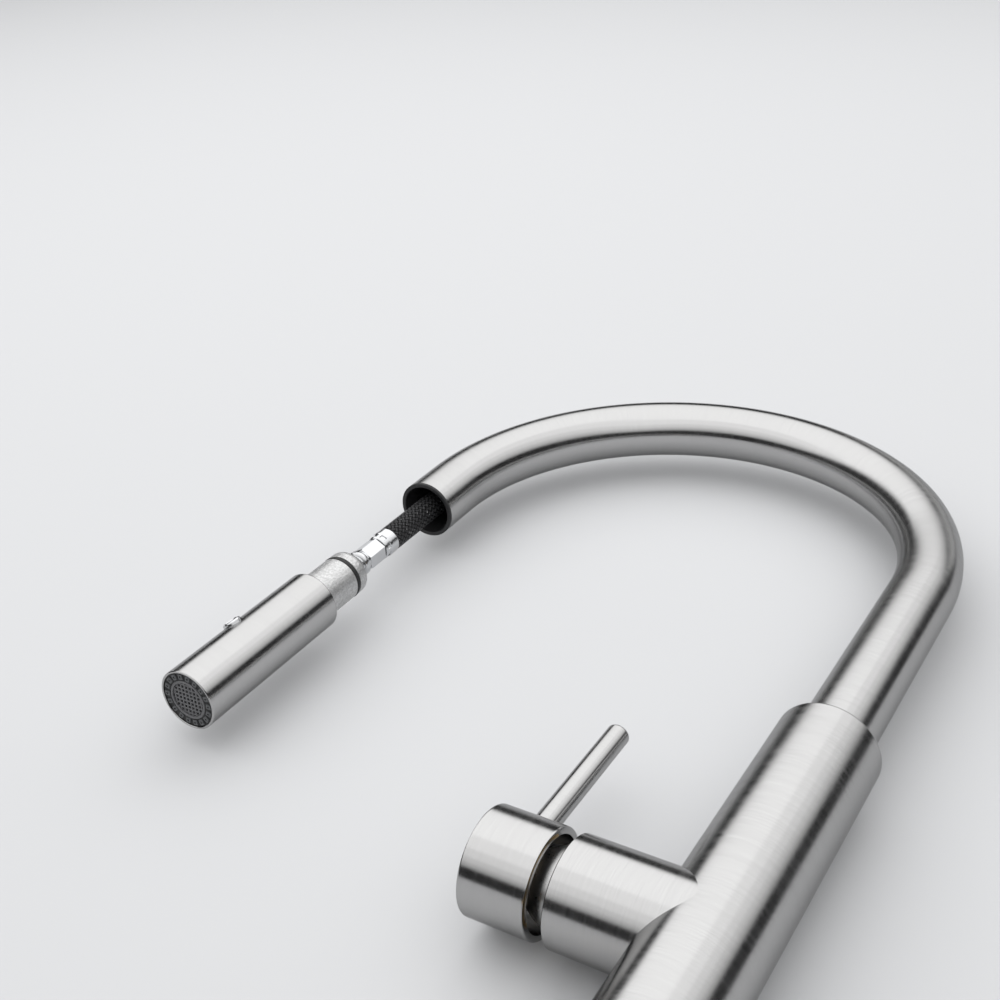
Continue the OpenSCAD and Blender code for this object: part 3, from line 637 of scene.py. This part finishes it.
def finishes():
    """Every finish of the faucet, by name."""
    colours = bpy.context.scene.faucet_colours
    steel = colours.steel[:]
    return {
        "steel_tube": brushed("steel_tube", steel, 0.19),
        "steel_body": brushed("steel_body", steel, 0.2, 0.9),
        "steel_small": brushed("steel_small", steel, 0.19, 1.2),
        "steel_plain": plain("steel_plain", steel, 1.0, 0.3, 1400, 0.2, 0.00003),
        "cast_satin": tumbled("cast_satin", colours.adapter[:]),
        "bright": plain("bright", (0.56, 0.565, 0.575), 1.0, 0.16, 900, 0.3, 0.00008, 0.12),
        "brass": plain("brass", colours.brass[:], 1.0, 0.32, 1200, 0.25, 0.00004),
        "liner_black": plain("liner_black", (0.011, 0.011, 0.012), 0.0, 0.55, 2200, 0.2, 0.00004),
        "rubber_black": plain("rubber_black", (0.012, 0.012, 0.012), 0.0, 0.5, 2000, 0.25, 0.00004),
        "silicone_dark": plain("silicone_dark", colours.face[:], 0.0, 0.5, 1800, 0.2, 0.00004),
        "silicone_grey": plain("silicone_grey", tint(colours.face[:], 7.0), 0.0, 0.45, 1800, 0.2, 0.00004),
        "plastic_grey": plain("plastic_grey", (0.11, 0.11, 0.115), 0.0, 0.42, 1500, 0.2, 0.00004),
        "plastic_white": plain("plastic_white", (0.72, 0.72, 0.7), 0.0, 0.4, 1200, 0.15, 0.00004),
        "ceramic": plain("ceramic", (0.82, 0.81, 0.77), 0.0, 0.18, 2400, 0.1, 0.00002, 0.06, 0.3),
        "iron": plain("iron", (0.07, 0.07, 0.075), 0.85, 0.5, 700, 0.6, 0.00025, 0.2),
        "braid": braided("braid", colours.hose[:], (0.5, 0.5, 0.5, 1)),
    }


FINISH = {}


def finish(name):
    if not FINISH:
        FINISH.update(finishes())
    return FINISH[name]


# ---- Settings ----

def length_setting(name, description, default):
    return bpy.props.FloatProperty(name=name, description=description, default=default, unit="LENGTH")


def number_setting(name, description, default):
    return bpy.props.FloatProperty(name=name, description=description, default=default)


def count_setting(name, description, default):
    return bpy.props.IntProperty(name=name, description=description, default=default)


def colour_setting(name, description, default):
    return bpy.props.FloatVectorProperty(
        name=name, description=description, subtype="COLOR", size=3, default=default)


class FaucetSizes(bpy.types.PropertyGroup):
    """Sizes of the faucet's pieces"""

    hose_radius: length_setting("Hose radius", "Outside radius of the braided hose", 0.006)
    tube_radius: length_setting("Spout tube radius", "Outside radius of the spout tube", 0.014)
    tube_wall: length_setting("Spout tube wall", "Wall of the spout tube", 0.0012)
    body_radius: length_setting("Body radius", "Outside radius of the body", 0.02)
    hub_radius: length_setting("Hub radius", "Outside radius of the valve hub and the cap", 0.0195)
    lever_radius: length_setting("Lever radius", "Radius of the pin lever", 0.0045)
    head_radius: length_setting("Spray head radius", "Outside radius of the spray head", 0.0135)
    nozzles: count_setting("Nozzles", "Number of spray nozzles round the aerator", 18)
    thread_pitch: length_setting("Thread pitch", "Pitch of the shank's thread", 0.002)
    floor_side: length_setting("Floor side", "Side of the square floor", 7.0)
    lamp_strength: number_setting("Lamp strength", "Radiance of the overhead lamp panels together", 1.85)
    surround: number_setting("Surround", "Brightness of the room round the stage", 0.032)


class FaucetColours(bpy.types.PropertyGroup):
    """Colours of the faucet's finishes"""

    steel: colour_setting("Steel", "Brushed steel", (0.44, 0.438, 0.436))
    adapter: colour_setting("Adapter", "Satin adapter behind the head", (0.5, 0.5, 0.5))
    brass: colour_setting("Brass", "Machined brass", (0.72, 0.5, 0.22))
    face: colour_setting("Spray face", "Silicone of the spray face", (0.012, 0.0125, 0.013))
    hose: colour_setting("Hose", "Yarn of the hose's braid", (0.014, 0.014, 0.015))
    floor: colour_setting("Floor", "Floor of the stage", (0.56, 0.565, 0.575))


# ---- Operators ----

class FAUCET_OT_camera(bpy.types.Operator):
    """Stands the camera at the viewing angle"""

    bl_idname = "faucet.camera"
    bl_label = "Camera"

    def execute(self, context):
        place_camera()
        return {"FINISHED"}


class FAUCET_OT_hose(bpy.types.Operator):
    """Lays the braided hose from the head through the spout and the body, and round its loop below"""

    bl_idname = "faucet.hose"
    bl_label = "Hose"

    def execute(self, context):
        radius = context.scene.faucet_sizes.hose_radius
        nodes = frame["nodes"]
        collar = [nodes[n] for n in ("weight_front", "weight_back", "weight_screws")]
        low, low_length, low_line = hose_length("hose_below", LOW_ROUTE, radius)
        finished(low, finish("braid"), None, "braid", "hose_body", "hose_leg", "hose_bend", "hose_return")
        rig.blend(low, "body", "loop", (0, 0, -0.165), (0, 0, -0.394))
        over, over_length, over_line = hose_length("hose_in_spout", OVER_ROUTE, radius)
        finished(over, finish("braid"), "spout", "braid", "hose_spout")
        out, out_length, out_line = hose_length("hose_drawn_out", OUT_ROUTE, radius)
        finished(out, finish("braid"), None, "braid", "hose_lead")
        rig.blend(out, "spout", "hose_end", (OUTLET_X * MM, 0, 0.3158), (OUTLET_X * MM, 0, 0.219))
        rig.cord(out, exit=out_line[0], length=out_length, diameter=2 * radius, far_end="object",
                stiffness="stiff", lay="taut", path=out_line)
        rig.cord(over, exit=over_line[0], length=over_length, diameter=2 * radius, far_end="object",
                stiffness="stiff", lay="taut", path=over_line)
        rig.cord(low, exit=low_line[0], length=low_length, diameter=2 * radius, far_end="object",
                stiffness="stiff", lay="hanging", path=low_line, with_pieces=collar)
        return {"FINISHED"}


class FAUCET_OT_spout(bpy.types.Operator):
    """Bends the gooseneck tube and sets the black liner in its mouth"""

    bl_idname = "faucet.spout"
    bl_label = "Spout"

    def execute(self, context):
        s = context.scene.faucet_sizes
        clear_selection()
        bpy.ops.mesh.primitive_circle_add(vertices=96, radius=s.tube_radius, location=(0, 0, 0.116))
        tube = context.object
        tube.name = "gooseneck"
        bpy.ops.object.transform_apply(location=True, rotation=True, scale=True)
        bpy.ops.object.mode_set(mode="EDIT")
        bpy.ops.mesh.select_all(action="SELECT")
        for rise in (0.048, 0.036, 0.04, 0.036):
            bpy.ops.mesh.extrude_region_move(TRANSFORM_OT_translate={"value": (0, 0, rise)})
        bpy.ops.mesh.spin(steps=120, angle=math.pi, center=(BEND_X * MM, 0, BEND_Z * MM), axis=(0, 1, 0))
        bpy.ops.mesh.extrude_region_move(TRANSFORM_OT_translate={"value": (0, 0, -0.0237)})
        bpy.ops.mesh.select_all(action="SELECT")
        bpy.ops.mesh.remove_doubles(threshold=1e-6)
        bpy.ops.mesh.normals_make_consistent(inside=False)
        bpy.ops.object.mode_set(mode="OBJECT")
        wall = tube.modifiers.new("wall", "SOLIDIFY")
        wall.thickness = s.tube_wall
        wall.offset = -1
        bpy.ops.object.modifier_apply(modifier=wall.name)

        def rule(co):
            x, z = co.x - BEND_X * MM, co.z - BEND_Z * MM
            radius = -BEND_X * MM
            if z <= 0:
                near = x > 0
                middle = Vector(((0 if near else OUTLET_X * MM), 0, co.z))
                axis = UP if near else -UP
                along = z if near else math.pi * radius - z
            else:
                a = math.atan2(z, x)
                middle = Vector((BEND_X * MM + radius * math.cos(a), 0, BEND_Z * MM + radius * math.sin(a)))
                axis = Vector((-math.sin(a), 0, math.cos(a)))
                along = a * radius
            return co - middle, along, axis

        mark(tube, rule)
        smooth(tube)
        finished(tube, finish("steel_tube"), "spout", "satin_steel", "spout_tube")
        liner = turned("mouth_liner", [
            (12.0, 251.3), (12.3, 251), (13.7, 251), (14, 251.3), (14, 252.25), (12.75, 252.3),
            (12.75, 274),
            (10.7, 274), (10.7, 259), (12.0, 252.5)], HEAD_AT, closed=True)
        finished(liner, finish("liner_black"), "spout", "black_plastic", "outlet_guide")
        return {"FINISHED"}


HUB = (0, -math.pi / 2, 0)


class FAUCET_OT_body(bpy.types.Operator):
    """Turns the body, the valve hub and the base ring"""

    bl_idname = "faucet.body"
    bl_label = "Body"

    def execute(self, context):
        s = context.scene.faucet_sizes
        r, h = s.body_radius / MM, s.hub_radius / MM
        tube = turned("body_tube", [
            (r - 2, 5.2), (r - 0.4, 5.2), (r, 5.6), (r, 100), (r, 163.3), (r - 0.2, 163.8), (r - 0.6, 164),
            (14.5, 164), (14.25, 163.7), (14.25, 161), (r - 2, 161)], sides=128, closed=True)
        finished(tube, finish("steel_body"), "body", "satin_steel", "body_shell")
        hub = turned("valve_hub", [
            (h - 2, 3), (h, 3), (h, 48.6), (h - 0.4, 49), (h - 2, 49)
        ], HUB_AT, HUB, closed=True)
        finished(hub, finish("steel_body"), "body", "satin_steel", "body_shell")
        ring = turned("foot_ring", [
            (16.6, 1), (23.1, 1), (23.5, 1.4), (23.5, 4), (23.2, 4.6), (22.5, 5), (16.6, 5)
        ], closed=True)
        finished(ring, finish("steel_body"), "body", "satin_steel", "base_ring")
        seal = turned("foot_seal", [
            (17.5, 0), (22.6, 0), (22.9, 0.3), (22.9, 0.95), (17.5, 0.95)
        ], closed=True)
        finished(seal, finish("rubber_black"), "body", "rubber", "base_seal")
        return {"FINISHED"}


class FAUCET_OT_handle(bpy.types.Operator):
    """Turns the handle cap and its pin lever"""

    bl_idname = "faucet.handle"
    bl_label = "Handle"

    def execute(self, context):
        s = context.scene.faucet_sizes
        h, p = s.hub_radius / MM, s.lever_radius / MM
        cap = turned("handle_knob", [
            (3, 80.5), (12, 80.5), (h - 0.6, 80.5), (h - 0.2, 80.3), (h, 79.9), (h, 68), (h, 56.1),
            (h - 0.2, 55.7),
            (h - 0.6, 55.5), (h - 2.5, 55.5), (h - 2.5, 66.5), (3, 66.5)], HUB_AT, HUB, sides=128)
        socket = turned("socket_cutter", [(p + 0.12, 16.5), (p + 0.12, 24)], LEVER_AT)
        cut(cap, socket, HUB_AT, HUB)
        finished(cap, finish("steel_small"), "handle", "satin_steel", "handle_cap")
        lever = turned("pin_lever", [
            (p - 0.3, 17), (p, 17.2), (p, 45), (p, 79.6), (p - 0.15, 80.1), (p - 0.45, 80.4),
            (p - 0.9, 80.5)], LEVER_AT, sides=64)
        finished(lever, finish("steel_small"), "handle", "satin_steel", "lever_pin")
        return {"FINISHED"}


class FAUCET_OT_head(bpy.types.Operator):
    """Turns the spray head's tube and its button"""

    bl_idname = "faucet.head"
    bl_label = "Spray head"

    def execute(self, context):
        r = context.scene.faucet_sizes.head_radius / MM
        shell = turned("spray_tube", [
            (r - 1, 79.15), (r - 0.85, 79), (r - 0.3, 79), (r, 79.3), (r, 100), (r, 140), (r, 160),
            (r - 0.15, 160.35),
            (r - 0.5, 160.5), (10.35, 160.5), (10.35, 158.9),
            (r - 1, 158.9)], HEAD_AT, sides=128, closed=True)
        hole = turned("button_cutter", [
            (4.4, 8), (4.4, 17)
        ], BUTTON_AT, BUTTON_TURN, sides=48)
        cut(shell, hole, HEAD_AT)
        finished(shell, finish("steel_small"), "head", "satin_steel", "head_shell")
        button = turned("spray_button", [
            (3, 7), (4.1, 7), (4.2, 7.2), (4.2, 14.1), (4.0, 14.5), (3.6, 14.75), (3.2, 14.8),
            (2.9, 14.55), (1.5, 14.5)],
            BUTTON_AT, BUTTON_TURN, sides=64)
        finished(button, finish("bright"), "button", "bright", "mode_button")
        return {"FINISHED"}


class FAUCET_OT_face(bpy.types.Operator):
    """Sets the ring of nozzles, the grey ring and the aerator's grid in the head's face"""

    bl_idname = "faucet.face"
    bl_label = "Spray face"

    def execute(self, context):
        count = context.scene.faucet_sizes.nozzles
        plate = turned("nozzle_bed", [
            (8.85, 79.75), (12.42, 79.75), (12.42, 85.5), (8.85, 85.5)
        ], HEAD_AT, closed=True)
        finished(plate, finish("silicone_dark"), "head", "silicone", "nozzle_plate")
        clear_selection()
        bpy.ops.mesh.primitive_cube_add(size=1, location=(OUTLET_X * MM + 10.65 * MM, 0, 79.7 * MM))
        nozzle = context.object
        nozzle.scale = (2.5 * MM, 2.2 * MM, 1.1 * MM)
        bpy.ops.object.transform_apply(location=True, rotation=True, scale=True)
        bpy.ops.object.mode_set(mode="EDIT")
        bpy.ops.mesh.select_all(action="SELECT")
        bpy.ops.mesh.bevel(offset=0.3 * MM, segments=2, affect="EDGES")
        bpy.ops.object.mode_set(mode="OBJECT")
        pick_faces(nozzle, lambda face: face.normal.z < -0.99)
        bpy.ops.mesh.inset(thickness=0.42 * MM)
        bpy.ops.mesh.extrude_region_move(TRANSFORM_OT_translate={"value": (0, 0, 0.5 * MM)})
        # The floor of each nozzle's shallow recess takes the black finish: painted shade standing in for the dark of
        # the nozzle's bore.
        nozzle.data.materials.append(finish("silicone_grey"))
        nozzle.data.materials.append(finish("liner_black"))
        nozzle.active_material_index = 1
        bpy.ops.object.material_slot_assign()
        bpy.ops.mesh.select_mode(type="VERT")
        bpy.ops.object.mode_set(mode="OBJECT")
        nozzle.name = "nozzle"
        nozzles = [nozzle]
        for i in range(1, count):
            pick(nozzle)
            bpy.ops.object.duplicate()
            bpy.ops.transform.rotate(
                value=math.tau * i / count, orient_axis="Z", center_override=(OUTLET_X * MM, 0, 0))
            nozzles.append(context.object)
        nozzles = joined("nozzle_row", nozzles)
        bpy.ops.object.transform_apply(location=True, rotation=True, scale=True)
        smooth(nozzles, 40)
        finished(nozzles, None, "head", "silicone", "nozzle_plate")
        ring = turned("grey_ring", [
            (7.75, 79.35), (7.9, 79.2), (8.65, 79.2), (8.8, 79.35), (8.8, 82), (7.75, 82)
        ], HEAD_AT, closed=True)
        finished(ring, finish("plastic_grey"), "head", "grey_plastic", "face_ring")
        bars = []
        for axis in (0, 1):
            for i in range(-3, 5):
                offset = (i - 0.5) * 1.9
                half = math.sqrt(7.75 ** 2 - offset ** 2)
                size = (0.72, 2 * half, 0.8) if axis == 0 else (2 * half, 0.72, 0.7)
                where = (OUTLET_X + offset, 0, 80) if axis == 0 else (OUTLET_X, offset, 80)
                clear_selection()
                bpy.ops.mesh.primitive_cube_add(size=1, location=Vector(where) * MM)
                bar = context.object
                bar.scale = Vector(size) * MM
                bpy.ops.object.transform_apply(location=True, rotation=True, scale=True)
                bars.append(bar)
        grid = joined("aerator_grid", bars)
        bevel = grid.modifiers.new("edges", "BEVEL")
        bevel.width = 0.12 * MM
        bevel.segments = 2
        bpy.ops.object.modifier_apply(modifier=bevel.name)
        smooth(grid, 40)
        finished(grid, finish("plastic_grey"), "head", "steel", "aerator_screen")
        return {"FINISHED"}


class FAUCET_OT_adapter(bpy.types.Operator):
    """Turns the satin adapter behind the head and its black ring"""

    bl_idname = "faucet.adapter"
    bl_label = "Adapter"

    def execute(self, context):
        adapter = turned("dock_adapter", [
            (4.1, 145), (8.7, 145), (8.7, 159), (10.3, 159.2), (10.3, 170), (10.3, 180.1),
            (10.15, 180.3), (8.9, 180.4),
            (8.9, 182.6), (10.15, 182.7), (10.3, 182.9), (10.3, 186), (10.15, 187.1), (9.7, 188.1),
            (9.0, 188.8),
            (8.2, 189), (4.1, 189)], HEAD_AT, closed=True)
        finished(adapter, finish("cast_satin"), "head", "cast_satin", "head_adapter")
        section = []
        for i in range(14):
            a = math.tau * i / 14
            section.append((9.5 + 0.95 * math.cos(a), 181.5 + math.sin(a)))
        ring = turned("adapter_seal", section, HEAD_AT, closed=True)
        finished(ring, finish("rubber_black"), "head", "rubber", "adapter_ring")
        return {"FINISHED"}


def crimped(name, steps, centre, low, high, sides=96):
    """A bright sleeve with a row of crimp dents between two heights."""
    sleeve = turned(name, steps, centre, sides=sides)

    def dented(face):
        spin = math.atan2(face.center.y, face.center.x - centre[0] * MM) / math.tau * 8
        return low < face.center.z / MM < high and abs(face.normal.z) < 0.5 and abs((spin % 1) - 0.5) < 0.3

    pick_faces(sleeve, dented)
    bpy.ops.mesh.inset(thickness=0.2 * MM)
    bpy.ops.transform.shrink_fatten(value=-0.35 * MM)
    bpy.ops.mesh.select_mode(type="VERT")
    bpy.ops.object.mode_set(mode="OBJECT")
    smooth(sleeve, 30)
    return sleeve


class FAUCET_OT_hose_end(bpy.types.Operator):
    """Turns the hose's crimped sleeve, hex and neck"""

    bl_idname = "faucet.hose_end"
    bl_label = "Hose end"

    def execute(self, context):
        here = HEAD_AT
        sleeve = crimped("crimp_sleeve", [
            (4.6, 210.05), (5.3, 210.1), (5.75, 210.6), (5.85, 211), (5.85, 213.6), (6.1, 214.1),
            (6.15, 214.6), (6.15, 218.6),
            (6.05, 218.9), (5.4, 219)], here, 211.1, 213.5)
        finished(sleeve, finish("bright"), "hose_end", "bright", "crimp_collar")
        neck = turned("hose_neck", [
            (3.2, 177.5), (3.9, 177.6), (4, 178), (4, 189.5), (5.4, 189.5), (5.9, 189.8), (6.1, 190.3),
            (6.1, 191.6), (5.8, 192.2),
            (5.1, 192.5), (5.0, 193.7), (5.6, 194.1), (6.0, 194.6), (6.0, 196.2), (5.7, 196.7),
            (4.9, 197), (4.9, 198.2)], here)
        hexagon = turned("hose_hex", [
            (4.9, 198), (5.6, 198.3), (5.9, 198.9), (5.9, 209.2), (5.5, 209.8), (4.9, 210)
        ], here, sides=6)
        finished(neck, finish("bright"), "hose_end", "bright", "hose_fitting")
        finished(hexagon, finish("bright"), "hose_end", "bright", "hose_fitting")
        return {"FINISHED"}


class FAUCET_OT_deck(bpy.types.Operator):
    """Turns the threaded shank and the connector and collar of the hose's loop"""

    bl_idname = "faucet.deck"
    bl_label = "Below the deck"

    def execute(self, context):
        pitch = context.scene.faucet_sizes.thread_pitch / MM
        root, crest = 15.75, 16.5
        steps = [(14.5, -75), (15.6, -75)]
        turns = int(71 / pitch)
        for i in range(turns):
            z = -75 + i * pitch
            steps += [(root, z + 0.1 * pitch), (crest, z + 0.45 * pitch)]
            steps += [(crest, z + 0.55 * pitch), (root, z + 0.9 * pitch)]
        steps += [(crest, -3), (crest, 15), (14.5, 15)]
        shank = turned("threaded_shank", steps, sides=72, closed=True)
        finished(shank, finish("brass"), "body", "brass", "shank")
        here = RETURN_AT
        connector = turned("snap_connector", [
            (3.6, -109.2), (7.4, -109.2), (8.3, -109.8), (8.5, -110.5), (8.5, -120), (7.5, -120.2),
            (7.5, -124.9), (8.5, -125.1), (8.5, -129),
            (8.1, -129.4), (8.1, -130.4), (8.5, -130.8), (8.5, -134), (8.1, -134.4), (8.1, -135.4),
            (8.5, -135.8), (8.5, -141),
            (7.2, -142.8), (7, -143.3), (7, -150.5), (6.5, -151), (2.6, -151),
            (2.6, -123)], here, sides=72, closed=False)
        finished(connector, finish("liner_black"), "body", "black_plastic", "quick_connector")
        collar = crimped("return_sleeve", [
            (5.2, -165), (6, -164.9), (6.15, -164.4), (6.15, -153), (5.8, -152),
            (5.15, -151.05)], here, -163, -155)
        finished(collar, finish("bright"), "body", "bright", "return_collar")
        return {"FINISHED"}


INNER = {
    "steel_plain": ("deck_washer", "nut_screws", "bonnet", "spout_clip", "strainer", "diverter_spring",
    "button_spring",
                    "stem_pin", "cartridge_stem", "set_screw", "screw_plug", "weight_screws"),
    "brass": ("shank_nut", "valve_block", "cartridge_nut", "outlet_tube"),
    "rubber_black": ("deck_gasket", "port_seals", "tube_rings", "fitting_ring"),
    "liner_black": ("upper_bush", "lower_bush", "aerator_cup"),
    "plastic_grey": ("connector_clip", "head_core", "stem_carrier"),
    "plastic_white": ("cartridge_base", "cartridge_body", "check_valve", "diverter_plunger"),
    "ceramic": ("fixed_disc", "moving_disc"),
    "iron": ("weight_front", "weight_back"),
}


class FAUCET_OT_inner(bpy.types.Operator):
    """Gives the inner pieces and the deck fixing their finishes"""

    bl_idname = "faucet.inner"
    bl_label = "Inner pieces"

    def execute(self, context):
        for name, nodes in INNER.items():
            for node in nodes:
                piece = frame["nodes"][node]
                piece.data.materials.clear()
                piece.data.materials.append(finish(name))
        return {"FINISHED"}


def lamp(name, place, turn, width, length, radiance):
    """Hangs a rectangular lamp panel that shines with an even radiance."""
    bpy.ops.object.light_add(type="AREA", location=place, rotation=turn)
    panel = bpy.context.object
    panel.name = name
    panel.data.shape = "RECTANGLE"
    panel.data.size = width
    panel.data.size_y = length
    panel.data.energy = radiance * math.pi * width * length


class FAUCET_OT_stage(bpy.types.Operator):
    """Lays the pale floor and hangs the lamp panel over it"""

    bl_idname = "faucet.stage"
    bl_label = "Stage"

    def execute(self, context):
        s = context.scene.faucet_sizes
        over = (math.pi / 2, 0, 0)
        clear_selection()
        bpy.ops.mesh.primitive_plane_add(size=s.floor_side, location=FLOOR_AT, rotation=over)
        floor = context.object
        floor.name = "studio_floor"
        bpy.ops.object.transform_apply(location=True, rotation=True, scale=True)
        w = Weave("studio_floor")
        w.put(w.shader.inputs["Base Color"], tuple(context.scene.faucet_colours.floor) + (1,))
        w.put(w.shader.inputs["Roughness"], 0.85)
        w.put(w.shader.inputs["Specular IOR Level"], 0.2)
        back = w.tree.nodes.new("ShaderNodeNewGeometry").outputs["Backfacing"]
        clear = w.tree.nodes.new("ShaderNodeBsdfTransparent").outputs[0]
        mix = w.tree.nodes.new("ShaderNodeMixShader")
        w.put(mix.inputs[0], back)
        w.put(mix.inputs[1], w.shader.outputs[0])
        w.put(mix.inputs[2], clear)
        w.put(w.out.inputs[0], mix.outputs[0])
        floor.data.materials.append(w.material)
        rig.stage(floor)
        for i in range(6):
            t = i / 5
            where = (-0.25 - 0.6 * t, -1.05 + 0.01 * i, 0.15 + 0.8 * t)
            share = 0.3 if i == 0 else 0.14
            lamp("lamp_panel_" + str(i), where, over, 5.3 - 3.3 * t, 5.7 - 3.7 * t, share * s.lamp_strength)
        lamp("lamp_far", (0.45, -0.55, 4.2), (0, 0, 0), 2.7, 0.9, 0.4 * s.lamp_strength)
        context.scene.view_settings.view_transform = "Standard"
        world = bpy.data.worlds.new("studio")
        context.scene.world = world
        world.use_nodes = True
        nodes, links = world.node_tree.nodes, world.node_tree.links
        shade = nodes["Background"]
        shade.inputs[0].default_value = (s.surround, s.surround, s.surround * 1.03, 1)
        backdrop = nodes.new("ShaderNodeBackground")
        backdrop.inputs[0].default_value = (0.72, 0.73, 0.75, 1)
        mix = nodes.new("ShaderNodeMixShader")
        links.new(nodes.new("ShaderNodeLightPath").outputs["Is Camera Ray"], mix.inputs[0])
        links.new(shade.outputs[0], mix.inputs[1])
        links.new(backdrop.outputs[0], mix.inputs[2])
        links.new(mix.outputs[0], nodes["World Output"].inputs[0])
        return {"FINISHED"}


class FAUCET_PT_panel(bpy.types.Panel):
    """The faucet's sizes, colours and pieces"""

    bl_idname = "FAUCET_PT_panel"
    bl_label = "Pull-down faucet"
    bl_space_type = "VIEW_3D"
    bl_region_type = "UI"
    bl_category = "Faucet"

    def draw(self, context):
        for group in (context.scene.faucet_sizes, context.scene.faucet_colours):
            for name in group.__annotations__:
                self.layout.prop(group, name)
        for operator in OPERATORS:
            self.layout.operator(operator.bl_idname)


OPERATORS = (
    FAUCET_OT_camera, FAUCET_OT_hose, FAUCET_OT_spout, FAUCET_OT_body, FAUCET_OT_handle, FAUCET_OT_head,
    FAUCET_OT_face, FAUCET_OT_adapter, FAUCET_OT_hose_end, FAUCET_OT_deck, FAUCET_OT_inner, FAUCET_OT_stage,
)
CLASSES = (FaucetSizes, FaucetColours) + OPERATORS + (FAUCET_PT_panel,)


def register():
    for c in CLASSES:
        bpy.utils.register_class(c)
    bpy.types.Scene.faucet_sizes = bpy.props.PointerProperty(type=FaucetSizes)
    bpy.types.Scene.faucet_colours = bpy.props.PointerProperty(type=FaucetColours)


def unregister():
    del bpy.types.Scene.faucet_colours
    del bpy.types.Scene.faucet_sizes
    for c in reversed(CLASSES):
        bpy.utils.unregister_class(c)


def numbers(bounds):
    """A box as plain lists of numbers."""
    return [[float(x) for x in corner] for corner in bounds]


def main():
    cad_box = numbers(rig.bounds())
    register()
    bpy.ops.faucet.camera()
    bpy.ops.faucet.hose()
    bpy.ops.faucet.spout()
    bpy.ops.faucet.body()
    bpy.ops.faucet.handle()
    bpy.ops.faucet.head()
    bpy.ops.faucet.face()
    bpy.ops.faucet.adapter()
    bpy.ops.faucet.hose_end()
    bpy.ops.faucet.deck()
    bpy.ops.faucet.inner()
    bpy.ops.faucet.stage()
    with open("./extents.json", "w") as file:
        json.dump({"cad_box": cad_box, "visual_box": numbers(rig.bounds())}, file)


if __name__ == "__main__":
    main()
